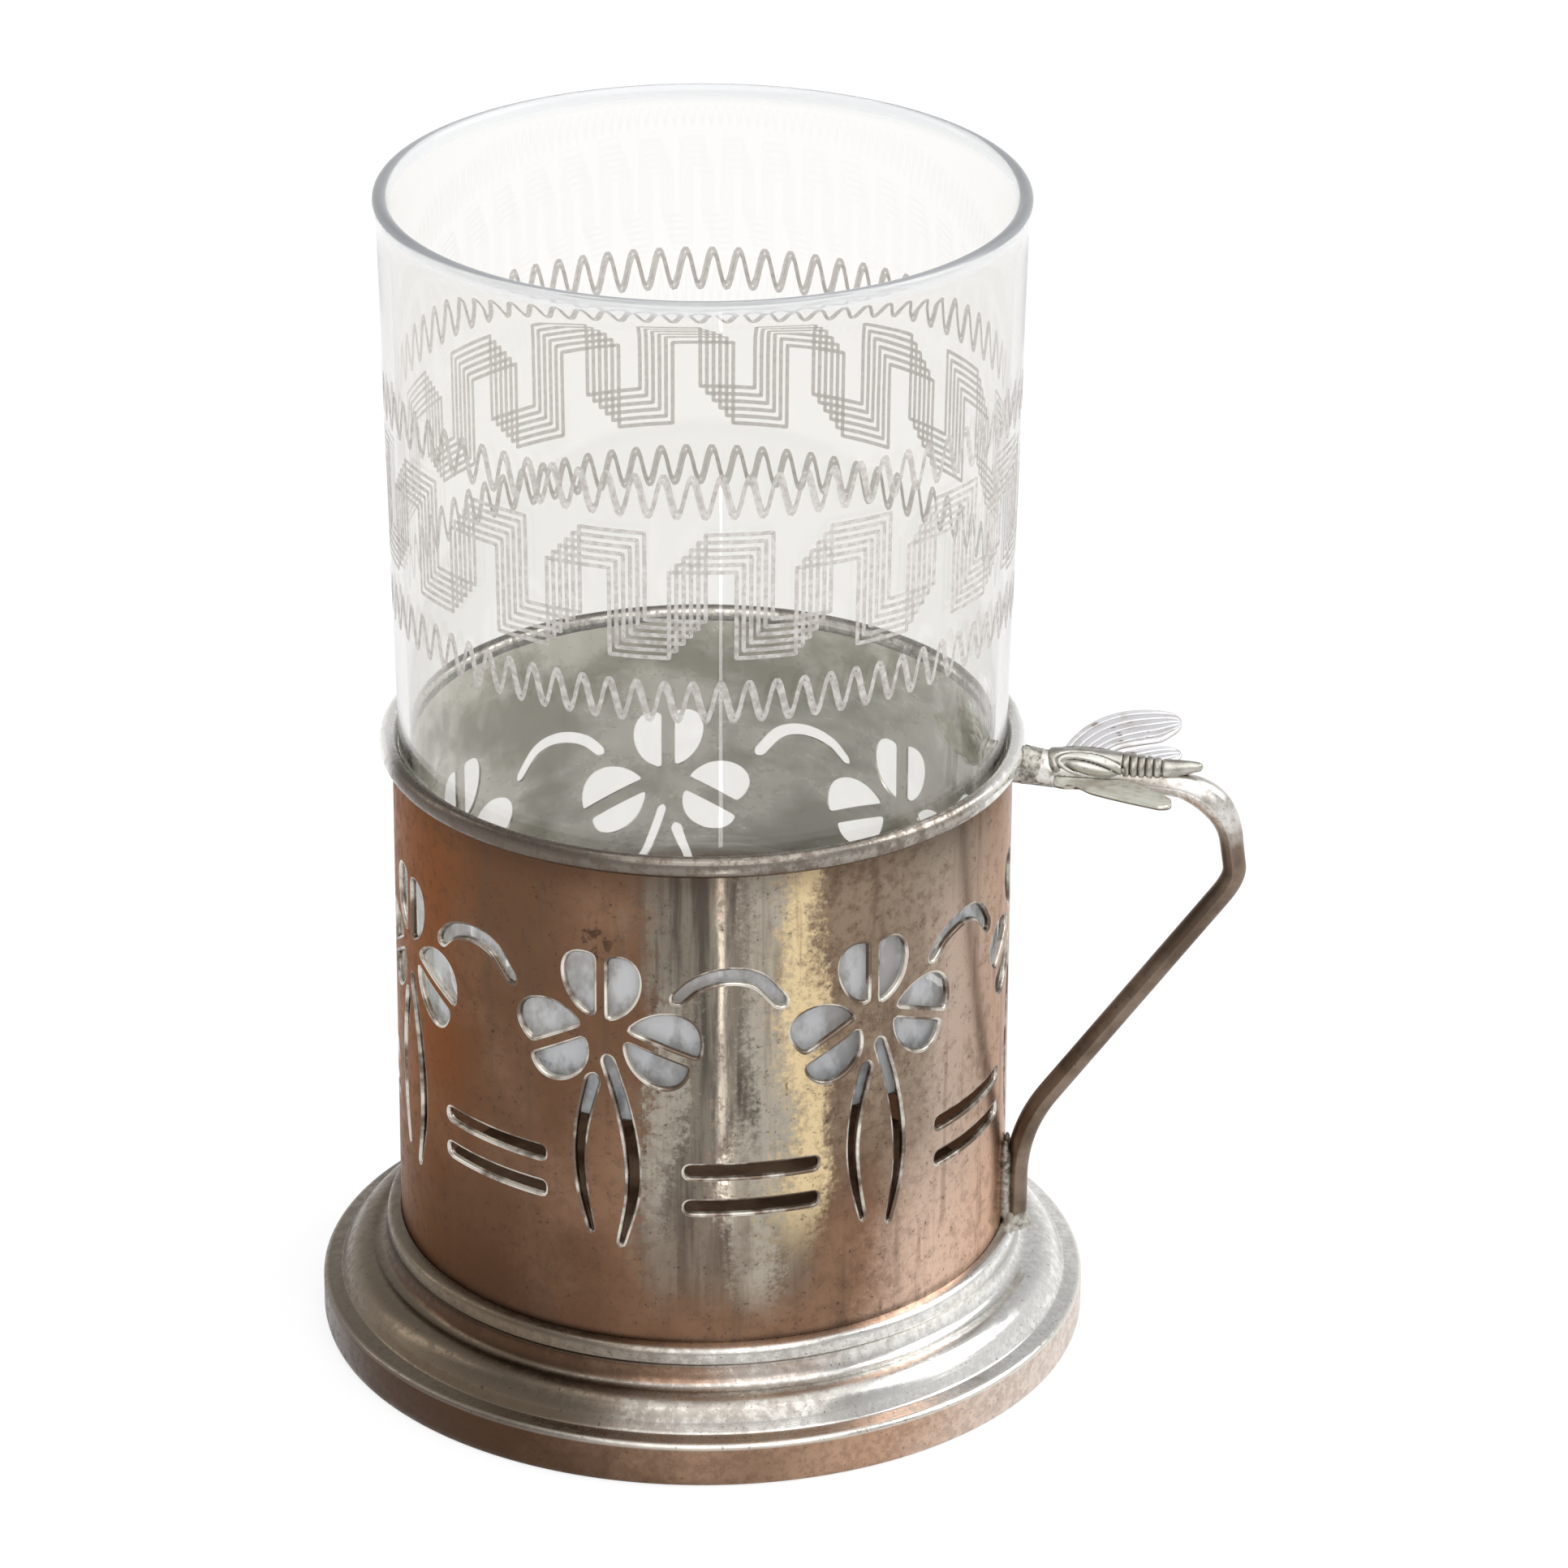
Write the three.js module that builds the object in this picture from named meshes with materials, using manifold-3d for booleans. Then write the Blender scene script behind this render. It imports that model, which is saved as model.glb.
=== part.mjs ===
// Grog glass in a pierced metal holder: a tapered tumbler hangs in the mouth of a thin sleeve, which
// stands on a spun, stepped foot. A bent bar makes the handle, and a winged insect on it is the thumb rest.
// Millimetres, +Z up. The handle points along +X, and the foot stands on the plane Z = 0.
import * as THREE from 'three';
import { mergeVertices } from 'three/addons/utils/BufferGeometryUtils.js';
import Module from 'manifold-3d';

// Round pieces: eight facets to each of the seven repeats of the piercing.
const REPEATS = 7;
const FACETS = REPEATS * 8;

// Sleeve, rolled from thin sheet.
const SLEEVE_RADIUS = 31.7;
const SLEEVE_WALL = 0.55;
const SLEEVE_TOP = 65.0;
const SLEEVE_SOCKET = 2.9; // reach of the sleeve inside the foot's collar

// Half-round ring on the sleeve's top edge.
const RIM_OVERHANG = 1.3;
const RIM_ABOVE = 1.4;
const RIM_BELOW = 0.8;

// Tumbler, held by its taper in the sleeve's mouth.
const GLASS_HEIGHT = 89.2;
const GLASS_SUNK = 31.3; // depth of its base below the top of the rim ring
const GLASS_TAPER_DEGREES = 1.29;
const GLASS_WALL = 1.2;
const GLASS_BASE = 4.0;
const GLASS_BASE_ROUND = 2.4;
const GLASS_PUNT = 0.8; // hollow under the base
const GLASS_LIP = 0.28; // swelling of the fire-polished lip
const GLASS_LIP_HEIGHT = 2.4;
const GLASS_CLEARANCE = 0.1;

// Foot, spun from sheet in steps.
const FOOT_FLARE = 8.3; // how far the foot stands out beyond the sleeve
const FOOT_HEIGHT = 12.1;
const FOOT_SHEET = 0.9;
const FOOT_WALL = 4.6; // height of the outer wall
const FOOT_EDGE = 0.6; // rounding of the outer wall's edges
const LEDGE_WIDTH = 2.0;
const LEDGE_RISE = 0.4;
const STEP_WIDTH = 0.6;
const STEP_RISE = 1.05;
const SKIRT_RISE = 1.8;
const COVE_WIDTH = 1.8;
const COLLAR_WIDTH = 1.15;
const COLLAR_ROUND = 1.3;

// Disc that closes the sleeve's lower end.
const FLOOR_SHEET = 0.9;

// Film of solder left between soldered pieces.
const SOLDER_GAP = 0.15;

// Piercing, cut right through the sleeve. Heights are measured down from the sleeve's top edge, and
// sideways places along its surface, to the right as seen from outside.
const PATTERN_TURN_DEGREES = 2.6; // the pattern stands a little off the handle's line
const FLOWER_DROP = 17.9;
const LOBES = [{ degrees: 90, start: 0.9 }, { degrees: 208, start: 2.45 }, { degrees: 339, start: 2.85 }];
const PETAL_LENGTH = 6.5;
const PETAL_WIDTH = 3.4;
const PETAL_RIB = 1.5; // metal left between the two petals of a lobe
const PETAL_LEAN = 0.95; // how far a petal's round side leans outwards
const PETAL_FULLNESS = 0.09; // share by which its outer half is fuller than its inner half
const LEAF_WIDTH = 1.15;
const LEAF_TIP = 0.7; // width at the lower end
const LEFT_LEAF = { topDrop: 24.1, bottomDrop: 41.0, topSide: -1.1, midSide: -2.65, bottomSide: -1.3 };
const RIGHT_LEAF = { topDrop: 21.7, bottomDrop: 42.0, topSide: 0.45, midSide: 2.95, bottomSide: 1.7 };
const BROW_DROP = 11.15;
const BROW_SIDE = -1.5; // the arch's middle, from halfway between two flowers
const BROW_SPAN = 11.7;
const BROW_RISE = 3.4;
const BROW_BAND = 1.3;
const BAR_DROPS = [33.6, 37.6];
const BAR_SIDE = 0.9; // the level slots' middle, from halfway between two flowers
const BAR_SPAN = 13.6;
const BAR_SLOT = 1.3;
const PUNCH_REACH = 0.85; // how far a punch passes the sheet on both sides

// Handle, bent from a bar that is round at the sleeve and ridged along both sides below the elbow.
const STUB_DROP = 1.0; // the bar's axis at the sleeve, below the sleeve's top edge
const STUB_RADIUS = 1.9;
const STUB_LENGTH = 3.6;
const HANDLE_REACH = 24.2; // from the sleeve to the outside of the elbow
const HANDLE_DIP = 1.3; // fall of the top run from the sleeve to the bend
const SHOULDER_BACK = 7.0; // from the elbow's outside back to where the top run bends
const SHOULDER_CORNER = 1.75; // from the elbow's outside back to the corner that the shoulder rounds
const SHOULDER_FALL = 0.43; // that corner, below the end of the top run
const SHOULDER_DROP = 5.6;
const UPRIGHT_BACK = 1.6; // axis of the short upright run, from the elbow's outside
const ELBOW_BACK = 1.0; // the elbow's corner, from the elbow's outside
const ELBOW_DROP = 12.2; // the elbow's corner, below the sleeve's top edge
const ELBOW_ROUND = 2.6;
const LANDING_HEIGHT = 22.4; // where the slanted run would meet the leg's line
const LANDING_ROUND = 5.6;
const LEG_END = 11.0; // height of the leg's lower end
const BAR_HALF = 1.2;
const BAR_RIDGE = 1.35;
const BAR_RIDGE_SLOPE = 0.75;
const BAR_SIDES = 12;
const BAR_STEPS = 56;

// Insect, cast as a saddle on the bar, with two pairs of thin wings.
const INSECT_START = 3.7; // from the sleeve to the front of the body
const INSECT_RISE = 0.6; // body's axis below the sleeve's top edge
const THORAX_LENGTH = 6.8;
const THORAX_RADIUS = 1.75;
const THORAX_FRONT = 1.55; // radius of its front face
const WAIST_RADIUS = 1.5;
const ABDOMEN_LENGTH = 4.4;
const ABDOMEN_RADIUS = 1.45;
const ABDOMEN_RINGS = 5;
const RING_GROOVE = 0.16;
const TAIL_LENGTH = 4.6;
const TAIL_RADIUS = 1.05;
const TAIL_TIP = 0.25;
const BODY_SIDES = 16;
const WING_SHEET = 0.5;
const WING_START = 0.8; // from the front of the body to the front of the wings
const WING_DROP = 0.9; // roots of the wings below the body's axis
const WING_SPREAD = 12.05; // from the body's axis to the widest point
const WING_LENGTH = 12.6; // along the bar
const WING_LIFT_DEGREES = 10.7;
// Outlines of the wings, as shares of the length along the bar and of the spread. The far plate has a front and
// a hind wing; the near plate is one leaf with a lobe at its root.
const FRONT_WING = [
  [0.03, 0.28], [0.14, 0.57], [0.25, 0.77], [0.42, 0.92], [0.62, 1], [0.82, 0.99], [0.94, 0.88], [0.95, 0.7],
  [0.825, 0.47],
];
const HIND_WING = [[0.94, 0.38], [1, 0.3], [0.94, 0.16], [0.7, 0]];
const NEAR_WING = [
  [0.02, 0.26], [0.09, 0.33], [0.2, 0.3], [0.33, 0.52], [0.56, 0.74], [0.83, 0.94], [0.91, 1], [0.98, 0.94],
  [1, 0.76], [0.91, 0.48], [0.75, 0.19], [0.62, 0],
];

// Derived sizes.
const bore = SLEEVE_RADIUS - SLEEVE_WALL;
const footRadius = SLEEVE_RADIUS + FOOT_FLARE;
const collarBore = SLEEVE_RADIUS + SOLDER_GAP;
const sleeveBottom = FOOT_HEIGHT - SLEEVE_SOCKET;
const rimTop = SLEEVE_TOP + RIM_ABOVE;
const rimMiddle = SLEEVE_TOP + (RIM_ABOVE - RIM_BELOW) / 2;
const rimOuter = SLEEVE_RADIUS + RIM_OVERHANG;
const elbowReach = SLEEVE_RADIUS + HANDLE_REACH;

const wasm = await Module();
wasm.setup();

// Solid for the boolean operations, from a closed geometry.
function toSolid(geometry) {
  const bare = geometry.clone();
  bare.deleteAttribute('normal');
  bare.deleteAttribute('uv');
  const merged = mergeVertices(bare, 1e-4);
  return new wasm.Manifold(new wasm.Mesh({
    numProp: 3,
    vertProperties: Float32Array.from(merged.attributes.position.array),
    triVerts: Uint32Array.from(merged.index.array),
  }));
}

function toGeometry(solid) {
  const mesh = solid.getMesh();
  const geometry = new THREE.BufferGeometry();
  geometry.setAttribute('position', new THREE.BufferAttribute(mesh.vertProperties, 3));
  geometry.setIndex(new THREE.BufferAttribute(mesh.triVerts, 1));
  geometry.computeVertexNormals();
  return geometry;
}

// Turns an outline of radius and height about the Z axis. A closed outline ends where it starts.
function turned(outline, sides = FACETS) {
  const points = outline.map(([r, z]) => new THREE.Vector2(r, z));
  if (THREE.ShapeUtils.area(points) < 0) points.reverse();
  return new THREE.LatheGeometry(points, sides).rotateX(Math.PI / 2);
}

const pairs = (points) => points.map((p) => [p.x, p.y]);

// Elliptical arc from one angle to another, as pairs of radius and height.
function arc(centreR, centreZ, radiusR, radiusZ, fromDegrees, toDegrees, steps) {
  const curve = new THREE.EllipseCurve(
    centreR, centreZ, radiusR, radiusZ,
    THREE.MathUtils.degToRad(fromDegrees), THREE.MathUtils.degToRad(toDegrees), toDegrees < fromDegrees,
  );
  return pairs(curve.getPoints(steps));
}

// Closed flat outline from pairs.
function outlined(points) {
  return new THREE.Shape(points.map(([x, y]) => new THREE.Vector2(x, y)));
}

// Curve of one bend between two points, as pairs.
function bend(start, corner, end, steps) {
  const [a, b, c] = [start, corner, end].map(([x, y]) => new THREE.Vector2(x, y));
  return pairs(new THREE.QuadraticBezierCurve(a, b, c).getPoints(steps));
}

// Tumbler: straight tapered wall, swollen lip, heavy base with a shallow hollow under it.
function glassTumbler() {
  const slope = Math.tan(THREE.MathUtils.degToRad(GLASS_TAPER_DEGREES));
  const bottom = rimTop - GLASS_SUNK;
  const top = bottom + GLASS_HEIGHT;
  const outside = (z) => bore - GLASS_CLEARANCE + slope * (z - rimMiddle);
  const inside = (z) => outside(z) - GLASS_WALL;
  const lipHalf = GLASS_WALL / 2 + GLASS_LIP / 2;
  const lipMiddle = outside(top) + GLASS_LIP - lipHalf;
  const lipStart = top - GLASS_LIP_HEIGHT;
  const well = bottom + GLASS_BASE;
  const baseRound = GLASS_BASE_ROUND;
  return turned([
    [0, bottom + GLASS_PUNT],
    [outside(bottom) - 2 * baseRound, bottom],
    ...bend([outside(bottom) - baseRound, bottom], [outside(bottom), bottom],
      [outside(bottom + baseRound), bottom + baseRound], 2),
    [outside(lipStart), lipStart],
    ...arc(lipMiddle, top - lipHalf, lipHalf, lipHalf, 0, 180, 4),
    [inside(lipStart), lipStart],
    ...bend([inside(well + baseRound), well + baseRound], [inside(well), well],
      [inside(well) - baseRound, well], 2),
    [0, well],
  ]);
}

// Foot: one spun sheet, open below, whose top edge closes round the sleeve.
function steppedFoot() {
  const ledgeRadius = footRadius - LEDGE_WIDTH;
  const ledgeZ = FOOT_WALL + LEDGE_RISE;
  const stepRadius = ledgeRadius - STEP_WIDTH;
  const stepZ = ledgeZ + STEP_RISE;
  const ringRadius = collarBore + COLLAR_WIDTH;
  const ringZ = FOOT_HEIGHT - COLLAR_ROUND;
  const skirtRadius = ringRadius + COVE_WIDTH;
  const skirtZ = stepZ + SKIRT_RISE;
  const outer = [
    [footRadius - FOOT_EDGE / 2, 0],
    [footRadius, FOOT_EDGE],
    ...bend([footRadius - FOOT_EDGE / 3, FOOT_WALL - FOOT_EDGE], [footRadius - FOOT_EDGE / 2, FOOT_WALL],
      [footRadius - 1.5 * FOOT_EDGE, FOOT_WALL + LEDGE_RISE / 3], 2),
    [ledgeRadius, ledgeZ],
    [stepRadius + STEP_WIDTH / 4, stepZ - STEP_RISE / 4],
    ...bend([stepRadius, stepZ], [(stepRadius + skirtRadius) / 2, skirtZ], [skirtRadius, skirtZ], 3),
    ...bend([skirtRadius - COVE_WIDTH / 6, skirtZ], [ringRadius, skirtZ], [ringRadius, ringZ], 3),
    ...arc(collarBore, ringZ, COLLAR_WIDTH, COLLAR_ROUND, 15, 90, 3),
  ];
  const innerRing = ringRadius - FOOT_SHEET;
  const innerStep = stepRadius - FOOT_SHEET / 2;
  const innerWall = footRadius - FOOT_SHEET;
  const inner = [
    [collarBore, FOOT_HEIGHT - FOOT_SHEET],
    [innerRing, ringZ - FOOT_SHEET / 3],
    [innerRing, skirtZ],
    [skirtRadius, skirtZ - FOOT_SHEET],
    [innerStep, stepZ - FOOT_SHEET / 2],
    [innerStep, ledgeZ - FOOT_SHEET],
    [innerWall, FOOT_WALL - FOOT_SHEET],
    [innerWall, 0],
  ];
  return turned([...outer, ...inner, outer[0]]);
}

function rimRing() {
  const middle = (bore + rimOuter) / 2;
  const half = (rimOuter - bore) / 2;
  const height = (RIM_ABOVE + RIM_BELOW) / 2;
  const crest = arc(middle, rimMiddle, half, height, 180, -90, 6);
  return turned([
    ...crest,
    [collarBore, SLEEVE_TOP - RIM_BELOW],
    [collarBore, SLEEVE_TOP],
    [bore, SLEEVE_TOP],
    crest[0],
  ]);
}

function floorPlate() {
  return turned([
    [0, sleeveBottom - FLOOR_SHEET],
    [SLEEVE_RADIUS, sleeveBottom - FLOOR_SHEET],
    [SLEEVE_RADIUS, sleeveBottom],
    [0, sleeveBottom],
  ]);
}

// Outline of one petal: straight along the lobe's rib, round outside, narrower at the flower's centre.
function petal({ degrees, start }, side) {
  const end = start + PETAL_LENGTH;
  const rib = side * PETAL_RIB / 2;
  const handle = side * PETAL_WIDTH * 4 / 3; // a cubic curve reaches three quarters of its handles
  const shape = new THREE.Shape();
  shape.moveTo(start, rib);
  shape.lineTo(end, rib);
  shape.bezierCurveTo(
    end + PETAL_LEAN, rib + handle * (1 + PETAL_FULLNESS),
    start + PETAL_LEAN, rib + handle * (1 - PETAL_FULLNESS),
    start, rib,
  );
  const turn = THREE.MathUtils.degToRad(degrees);
  const centre = new THREE.Vector2();
  const lift = new THREE.Vector2(0, SLEEVE_TOP - FLOWER_DROP);
  return new THREE.Shape(shape.getPoints(5).map((p) => p.rotateAround(centre, turn).add(lift)));
}

// Outline of one curved leaf slot, which runs down beside the stem and narrows towards its lower end.
function leaf({ topDrop, bottomDrop, topSide, midSide, bottomSide }) {
  const top = SLEEVE_TOP - topDrop;
  const bottom = SLEEVE_TOP - bottomDrop;
  const middle = (top + bottom) / 2;
  const upper = LEAF_WIDTH / 2;
  const lower = LEAF_TIP / 2;
  const half = (upper + lower) / 2;
  const control = 2 * midSide - (topSide + bottomSide) / 2;
  return outlined([
    ...bend([topSide - upper, top - upper], [control - half, middle],
      [bottomSide - lower, bottom + lower], 4),
    [bottomSide, bottom],
    ...bend([bottomSide + lower, bottom + lower], [control + half, middle],
      [topSide + upper, top - upper], 4),
    [topSide, top],
  ]);
}

// Outline of the arched slot between two flowers.
function brow() {
  const half = BROW_SPAN / 2;
  const top = SLEEVE_TOP - BROW_DROP;
  const ends = top - BROW_RISE;
  const length = Math.hypot(half, 2 * BROW_RISE);
  const innerHalf = half - BROW_BAND * 2 * BROW_RISE / length;
  const innerEnds = ends - BROW_BAND * half / length;
  const innerControl = 2 * (top - BROW_BAND) - innerEnds;
  return outlined([
    ...bend([BROW_SIDE - half, ends], [BROW_SIDE, top + BROW_RISE], [BROW_SIDE + half, ends], 4),
    ...bend([BROW_SIDE + innerHalf, innerEnds], [BROW_SIDE, innerControl],
      [BROW_SIDE - innerHalf, innerEnds], 4),
  ]);
}

// Outline of one level slot with bevelled ends.
function barSlot(drop) {
  const left = BAR_SIDE - BAR_SPAN / 2;
  const right = BAR_SIDE + BAR_SPAN / 2;
  const height = BAR_SLOT / 2;
  const middle = SLEEVE_TOP - drop;
  return outlined([
    [left + height, middle - height],
    [right - height, middle - height],
    [right, middle],
    [right - height, middle + height],
    [left + height, middle + height],
    [left, middle],
  ]);
}

// Punch for one outline, wrapped round the sleeve at an angle from the handle's line.
function punch(shape, turn) {
  const depth = SLEEVE_WALL + 2 * PUNCH_REACH;
  const geometry = new THREE.ExtrudeGeometry(shape, { depth, bevelEnabled: false });
  const position = geometry.attributes.position;
  for (let i = 0; i < position.count; i += 1) {
    const angle = turn + position.getX(i) / SLEEVE_RADIUS;
    const radius = bore - PUNCH_REACH + position.getZ(i);
    position.setXYZ(i, radius * Math.cos(angle), radius * Math.sin(angle), position.getY(i));
  }
  return toSolid(geometry);
}

// Sleeve: a thin tube with a flower, its two leaves, an arch and two level slots in each repeat.
function piercedSleeve() {
  const tube = turned([
    [bore, sleeveBottom],
    [SLEEVE_RADIUS, sleeveBottom],
    [SLEEVE_RADIUS, SLEEVE_TOP],
    [bore, SLEEVE_TOP],
    [bore, sleeveBottom],
  ]);
  const flower = [
    ...LOBES.flatMap((lobe) => [petal(lobe, -1), petal(lobe, 1)]),
    leaf(LEFT_LEAF),
    leaf(RIGHT_LEAF),
  ];
  const between = [brow(), ...BAR_DROPS.map(barSlot)];
  const step = 2 * Math.PI / REPEATS;
  const start = THREE.MathUtils.degToRad(PATTERN_TURN_DEGREES);
  let sleeve = toSolid(tube);
  for (let i = 0; i < REPEATS; i += 1) {
    const punches = [
      ...flower.map((shape) => punch(shape, start + i * step)),
      ...between.map((shape) => punch(shape, start + (i + 0.5) * step)),
    ];
    sleeve = punches.reduce((rest, tool) => rest.subtract(tool), sleeve);
  }
  return toGeometry(sleeve);
}

// Line of the bar's axis in the plane of the handle: top run, shoulder, elbow, slanted run and leg.
function handleLine() {
  const at = (x, z) => new THREE.Vector3(x, 0, z);
  const legX = SLEEVE_RADIUS + SOLDER_GAP + BAR_HALF;
  const start = at(SLEEVE_RADIUS + SOLDER_GAP, SLEEVE_TOP - STUB_DROP);
  const topEnd = at(elbowReach - SHOULDER_BACK, start.z - HANDLE_DIP);
  const shoulder = at(elbowReach - SHOULDER_CORNER, topEnd.z - SHOULDER_FALL);
  const drop = at(elbowReach - UPRIGHT_BACK, topEnd.z - SHOULDER_DROP);
  const corner = at(elbowReach - ELBOW_BACK, SLEEVE_TOP - ELBOW_DROP);
  const landing = at(legX, LANDING_HEIGHT);
  const slant = landing.clone().sub(corner).normalize();
  const overElbow = corner.clone().lerp(drop, ELBOW_ROUND / 2 / corner.distanceTo(drop));
  const underElbow = corner.clone().addScaledVector(slant, ELBOW_ROUND);
  const overLanding = landing.clone().addScaledVector(slant, -LANDING_ROUND);
  const underLanding = at(legX, LANDING_HEIGHT - LANDING_ROUND);
  const line = new THREE.CurvePath();
  line.add(new THREE.LineCurve3(start, topEnd));
  line.add(new THREE.QuadraticBezierCurve3(topEnd, shoulder, drop));
  line.add(new THREE.LineCurve3(drop, overElbow));
  line.add(new THREE.QuadraticBezierCurve3(overElbow, corner, underElbow));
  line.add(new THREE.LineCurve3(underElbow, overLanding));
  line.add(new THREE.QuadraticBezierCurve3(overLanding, landing, underLanding));
  line.add(new THREE.LineCurve3(underLanding, at(legX, LEG_END)));
  return line;
}

// Half width of the bar's section at an angle from its flat face, part of the way along its line.
function barRadius(angle, distance) {
  const flat = Math.abs(Math.cos(angle));
  const ridge = Math.abs(Math.sin(angle));
  const ridged = Math.min(BAR_HALF / Math.max(flat, 1e-6), BAR_RIDGE / (ridge + BAR_RIDGE_SLOPE * flat));
  const thick = THREE.MathUtils.smoothstep(distance, STUB_LENGTH, HANDLE_REACH - SHOULDER_BACK);
  return THREE.MathUtils.lerp(STUB_RADIUS, ridged, thick);
}

// Bar bent along the handle's line: a straight closed bar whose rings are carried onto the line.
function bentBar(extra) {
  const line = handleLine();
  const length = line.getLength();
  const bar = new THREE.CylinderGeometry(1, 1, 1, BAR_SIDES, BAR_STEPS);
  const position = bar.attributes.position;
  for (let i = 0; i < position.count; i += 1) {
    const along = THREE.MathUtils.clamp(position.getY(i) + 0.5, 0, 1);
    const angle = Math.atan2(position.getZ(i), position.getX(i));
    const share = Math.hypot(position.getX(i), position.getZ(i));
    const radius = share * (barRadius(angle, along * length) + extra);
    const centre = line.getPointAt(along);
    const forward = line.getTangentAt(along);
    const upward = new THREE.Vector3(-forward.z, 0, forward.x);
    centre.addScaledVector(upward, radius * Math.cos(angle));
    centre.y += radius * Math.sin(angle);
    position.setXYZ(i, centre.x, centre.y, centre.z);
  }
  return bar;
}

// Handle bar with its leg's end filed to sit on the rounded collar of the foot.
function handleBar() {
  const seat = turned([
    [0, 0],
    ...arc(collarBore, FOOT_HEIGHT - COLLAR_ROUND,
      COLLAR_WIDTH + SOLDER_GAP, COLLAR_ROUND + SOLDER_GAP, 0, 90, 6),
    [0, FOOT_HEIGHT + SOLDER_GAP],
    [0, 0],
  ]);
  const grip = turned([
    [0, 0],
    [collarBore, 0],
    [collarBore, SLEEVE_TOP - RIM_BELOW - SOLDER_GAP],
    [rimOuter + SOLDER_GAP, SLEEVE_TOP - RIM_BELOW - SOLDER_GAP],
    [rimOuter + SOLDER_GAP, rimTop],
    [0, rimTop],
    [0, 0],
  ]);
  return toGeometry(toSolid(bentBar(0)).subtract(toSolid(seat)).subtract(toSolid(grip)));
}

// Insect's body: a turned form laid along the bar and hollowed below to sit on it.
function insectBody() {
  const tail = THORAX_LENGTH + ABDOMEN_LENGTH;
  const ringLength = ABDOMEN_LENGTH / ABDOMEN_RINGS;
  const swelling = 2 * THORAX_RADIUS - (THORAX_FRONT + WAIST_RADIUS) / 2;
  const outline = [
    [0, 0],
    ...bend([THORAX_FRONT, 0], [swelling, THORAX_LENGTH / 2],
      [WAIST_RADIUS, THORAX_LENGTH - RING_GROOVE], 5),
  ];
  for (let i = 0; i < ABDOMEN_RINGS; i += 1) {
    const from = THORAX_LENGTH + ringLength * i;
    const radius = THREE.MathUtils.lerp(ABDOMEN_RADIUS, TAIL_RADIUS, (i + 0.5) / ABDOMEN_RINGS);
    outline.push([radius - RING_GROOVE, from], [radius, from + ringLength / 2]);
  }
  outline.push(
    [TAIL_RADIUS - RING_GROOVE, tail],
    [TAIL_RADIUS, tail + ringLength / 2],
    [TAIL_TIP, tail + TAIL_LENGTH],
    [0, tail + TAIL_LENGTH],
  );
  const body = turned(outline, BODY_SIDES).rotateY(Math.PI / 2);
  body.translate(SLEEVE_RADIUS + INSECT_START, 0, SLEEVE_TOP - INSECT_RISE);
  return toGeometry(toSolid(body).subtract(toSolid(bentBar(SOLDER_GAP))));
}

// Thin plate with the wings of one side of the body, between the edges given for it.
function wings(side, edges) {
  const root = STUB_RADIUS + SOLDER_GAP;
  const reach = WING_SPREAD - root;
  const at = ([along, out]) => new THREE.Vector2(along * WING_LENGTH, side * (root + out * reach));
  const shape = new THREE.Shape();
  shape.moveTo(0, side * root);
  edges.forEach((edge) => shape.splineThru(edge.map(at)));
  const form = { depth: WING_SHEET, bevelEnabled: false, curveSegments: 3 };
  const plate = new THREE.ExtrudeGeometry(shape, form);
  const position = plate.attributes.position;
  const lift = Math.tan(THREE.MathUtils.degToRad(WING_LIFT_DEGREES));
  for (let i = 0; i < position.count; i += 1) {
    const raise = lift * (Math.abs(position.getY(i)) - root);
    position.setZ(i, position.getZ(i) + raise);
  }
  return plate;
}

function finish(color, roughness, metalness) {
  return new THREE.MeshStandardMaterial({ color, roughness, metalness });
}

function named(name, geometry, material) {
  const mesh = new THREE.Mesh(geometry, material);
  mesh.name = name;
  return mesh;
}

const mug = new THREE.Group();
const clear = finish(0xe4ece8, 0.06, 0);
clear.transparent = true;
clear.opacity = 0.35;
mug.add(
  named('stepped_foot', steppedFoot(), finish(0xb3a99b, 0.34, 1)),
  named('floor_plate', floorPlate(), finish(0x8f7c68, 0.45, 1)),
  named('pierced_sleeve', piercedSleeve(), finish(0xa98a76, 0.32, 1)),
  named('rim_ring', rimRing(), finish(0xbdb6ac, 0.3, 1)),
  named('handle_bar', handleBar(), finish(0x8d7868, 0.4, 1)),
  named('insect_body', insectBody(), finish(0xb9b2a8, 0.36, 1)),
  named('glass_tumbler', glassTumbler(), clear),
);
const wingPlace = new THREE.Group();
wingPlace.position.set(
  SLEEVE_RADIUS + INSECT_START + WING_START, 0, SLEEVE_TOP - INSECT_RISE - WING_DROP - WING_SHEET / 2,
);
wingPlace.add(
  named('near_wings', wings(-1, [NEAR_WING]), finish(0xb4ada2, 0.36, 1)),
  named('far_wings', wings(1, [FRONT_WING, HIND_WING]), finish(0xd8d6d2, 0.33, 1)),
);
mug.add(wingPlace);

// The origin is under the middle of the whole object's length.
const box = new THREE.Box3().setFromObject(mug);
mug.position.x = -(box.min.x + box.max.x) / 2;

const object = new THREE.Group();
object.add(mug);
export default object;
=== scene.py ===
# Grog glass in a pierced holder of worn silver plate, in the order in which it is put together: the spun foot
# with its floor plate, the pierced sleeve and its ring, the handle with an insect as thumb rest, the glass.
import math

import bmesh
import bpy
from mathutils import Matrix, Vector, geometry, kdtree, noise


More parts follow.
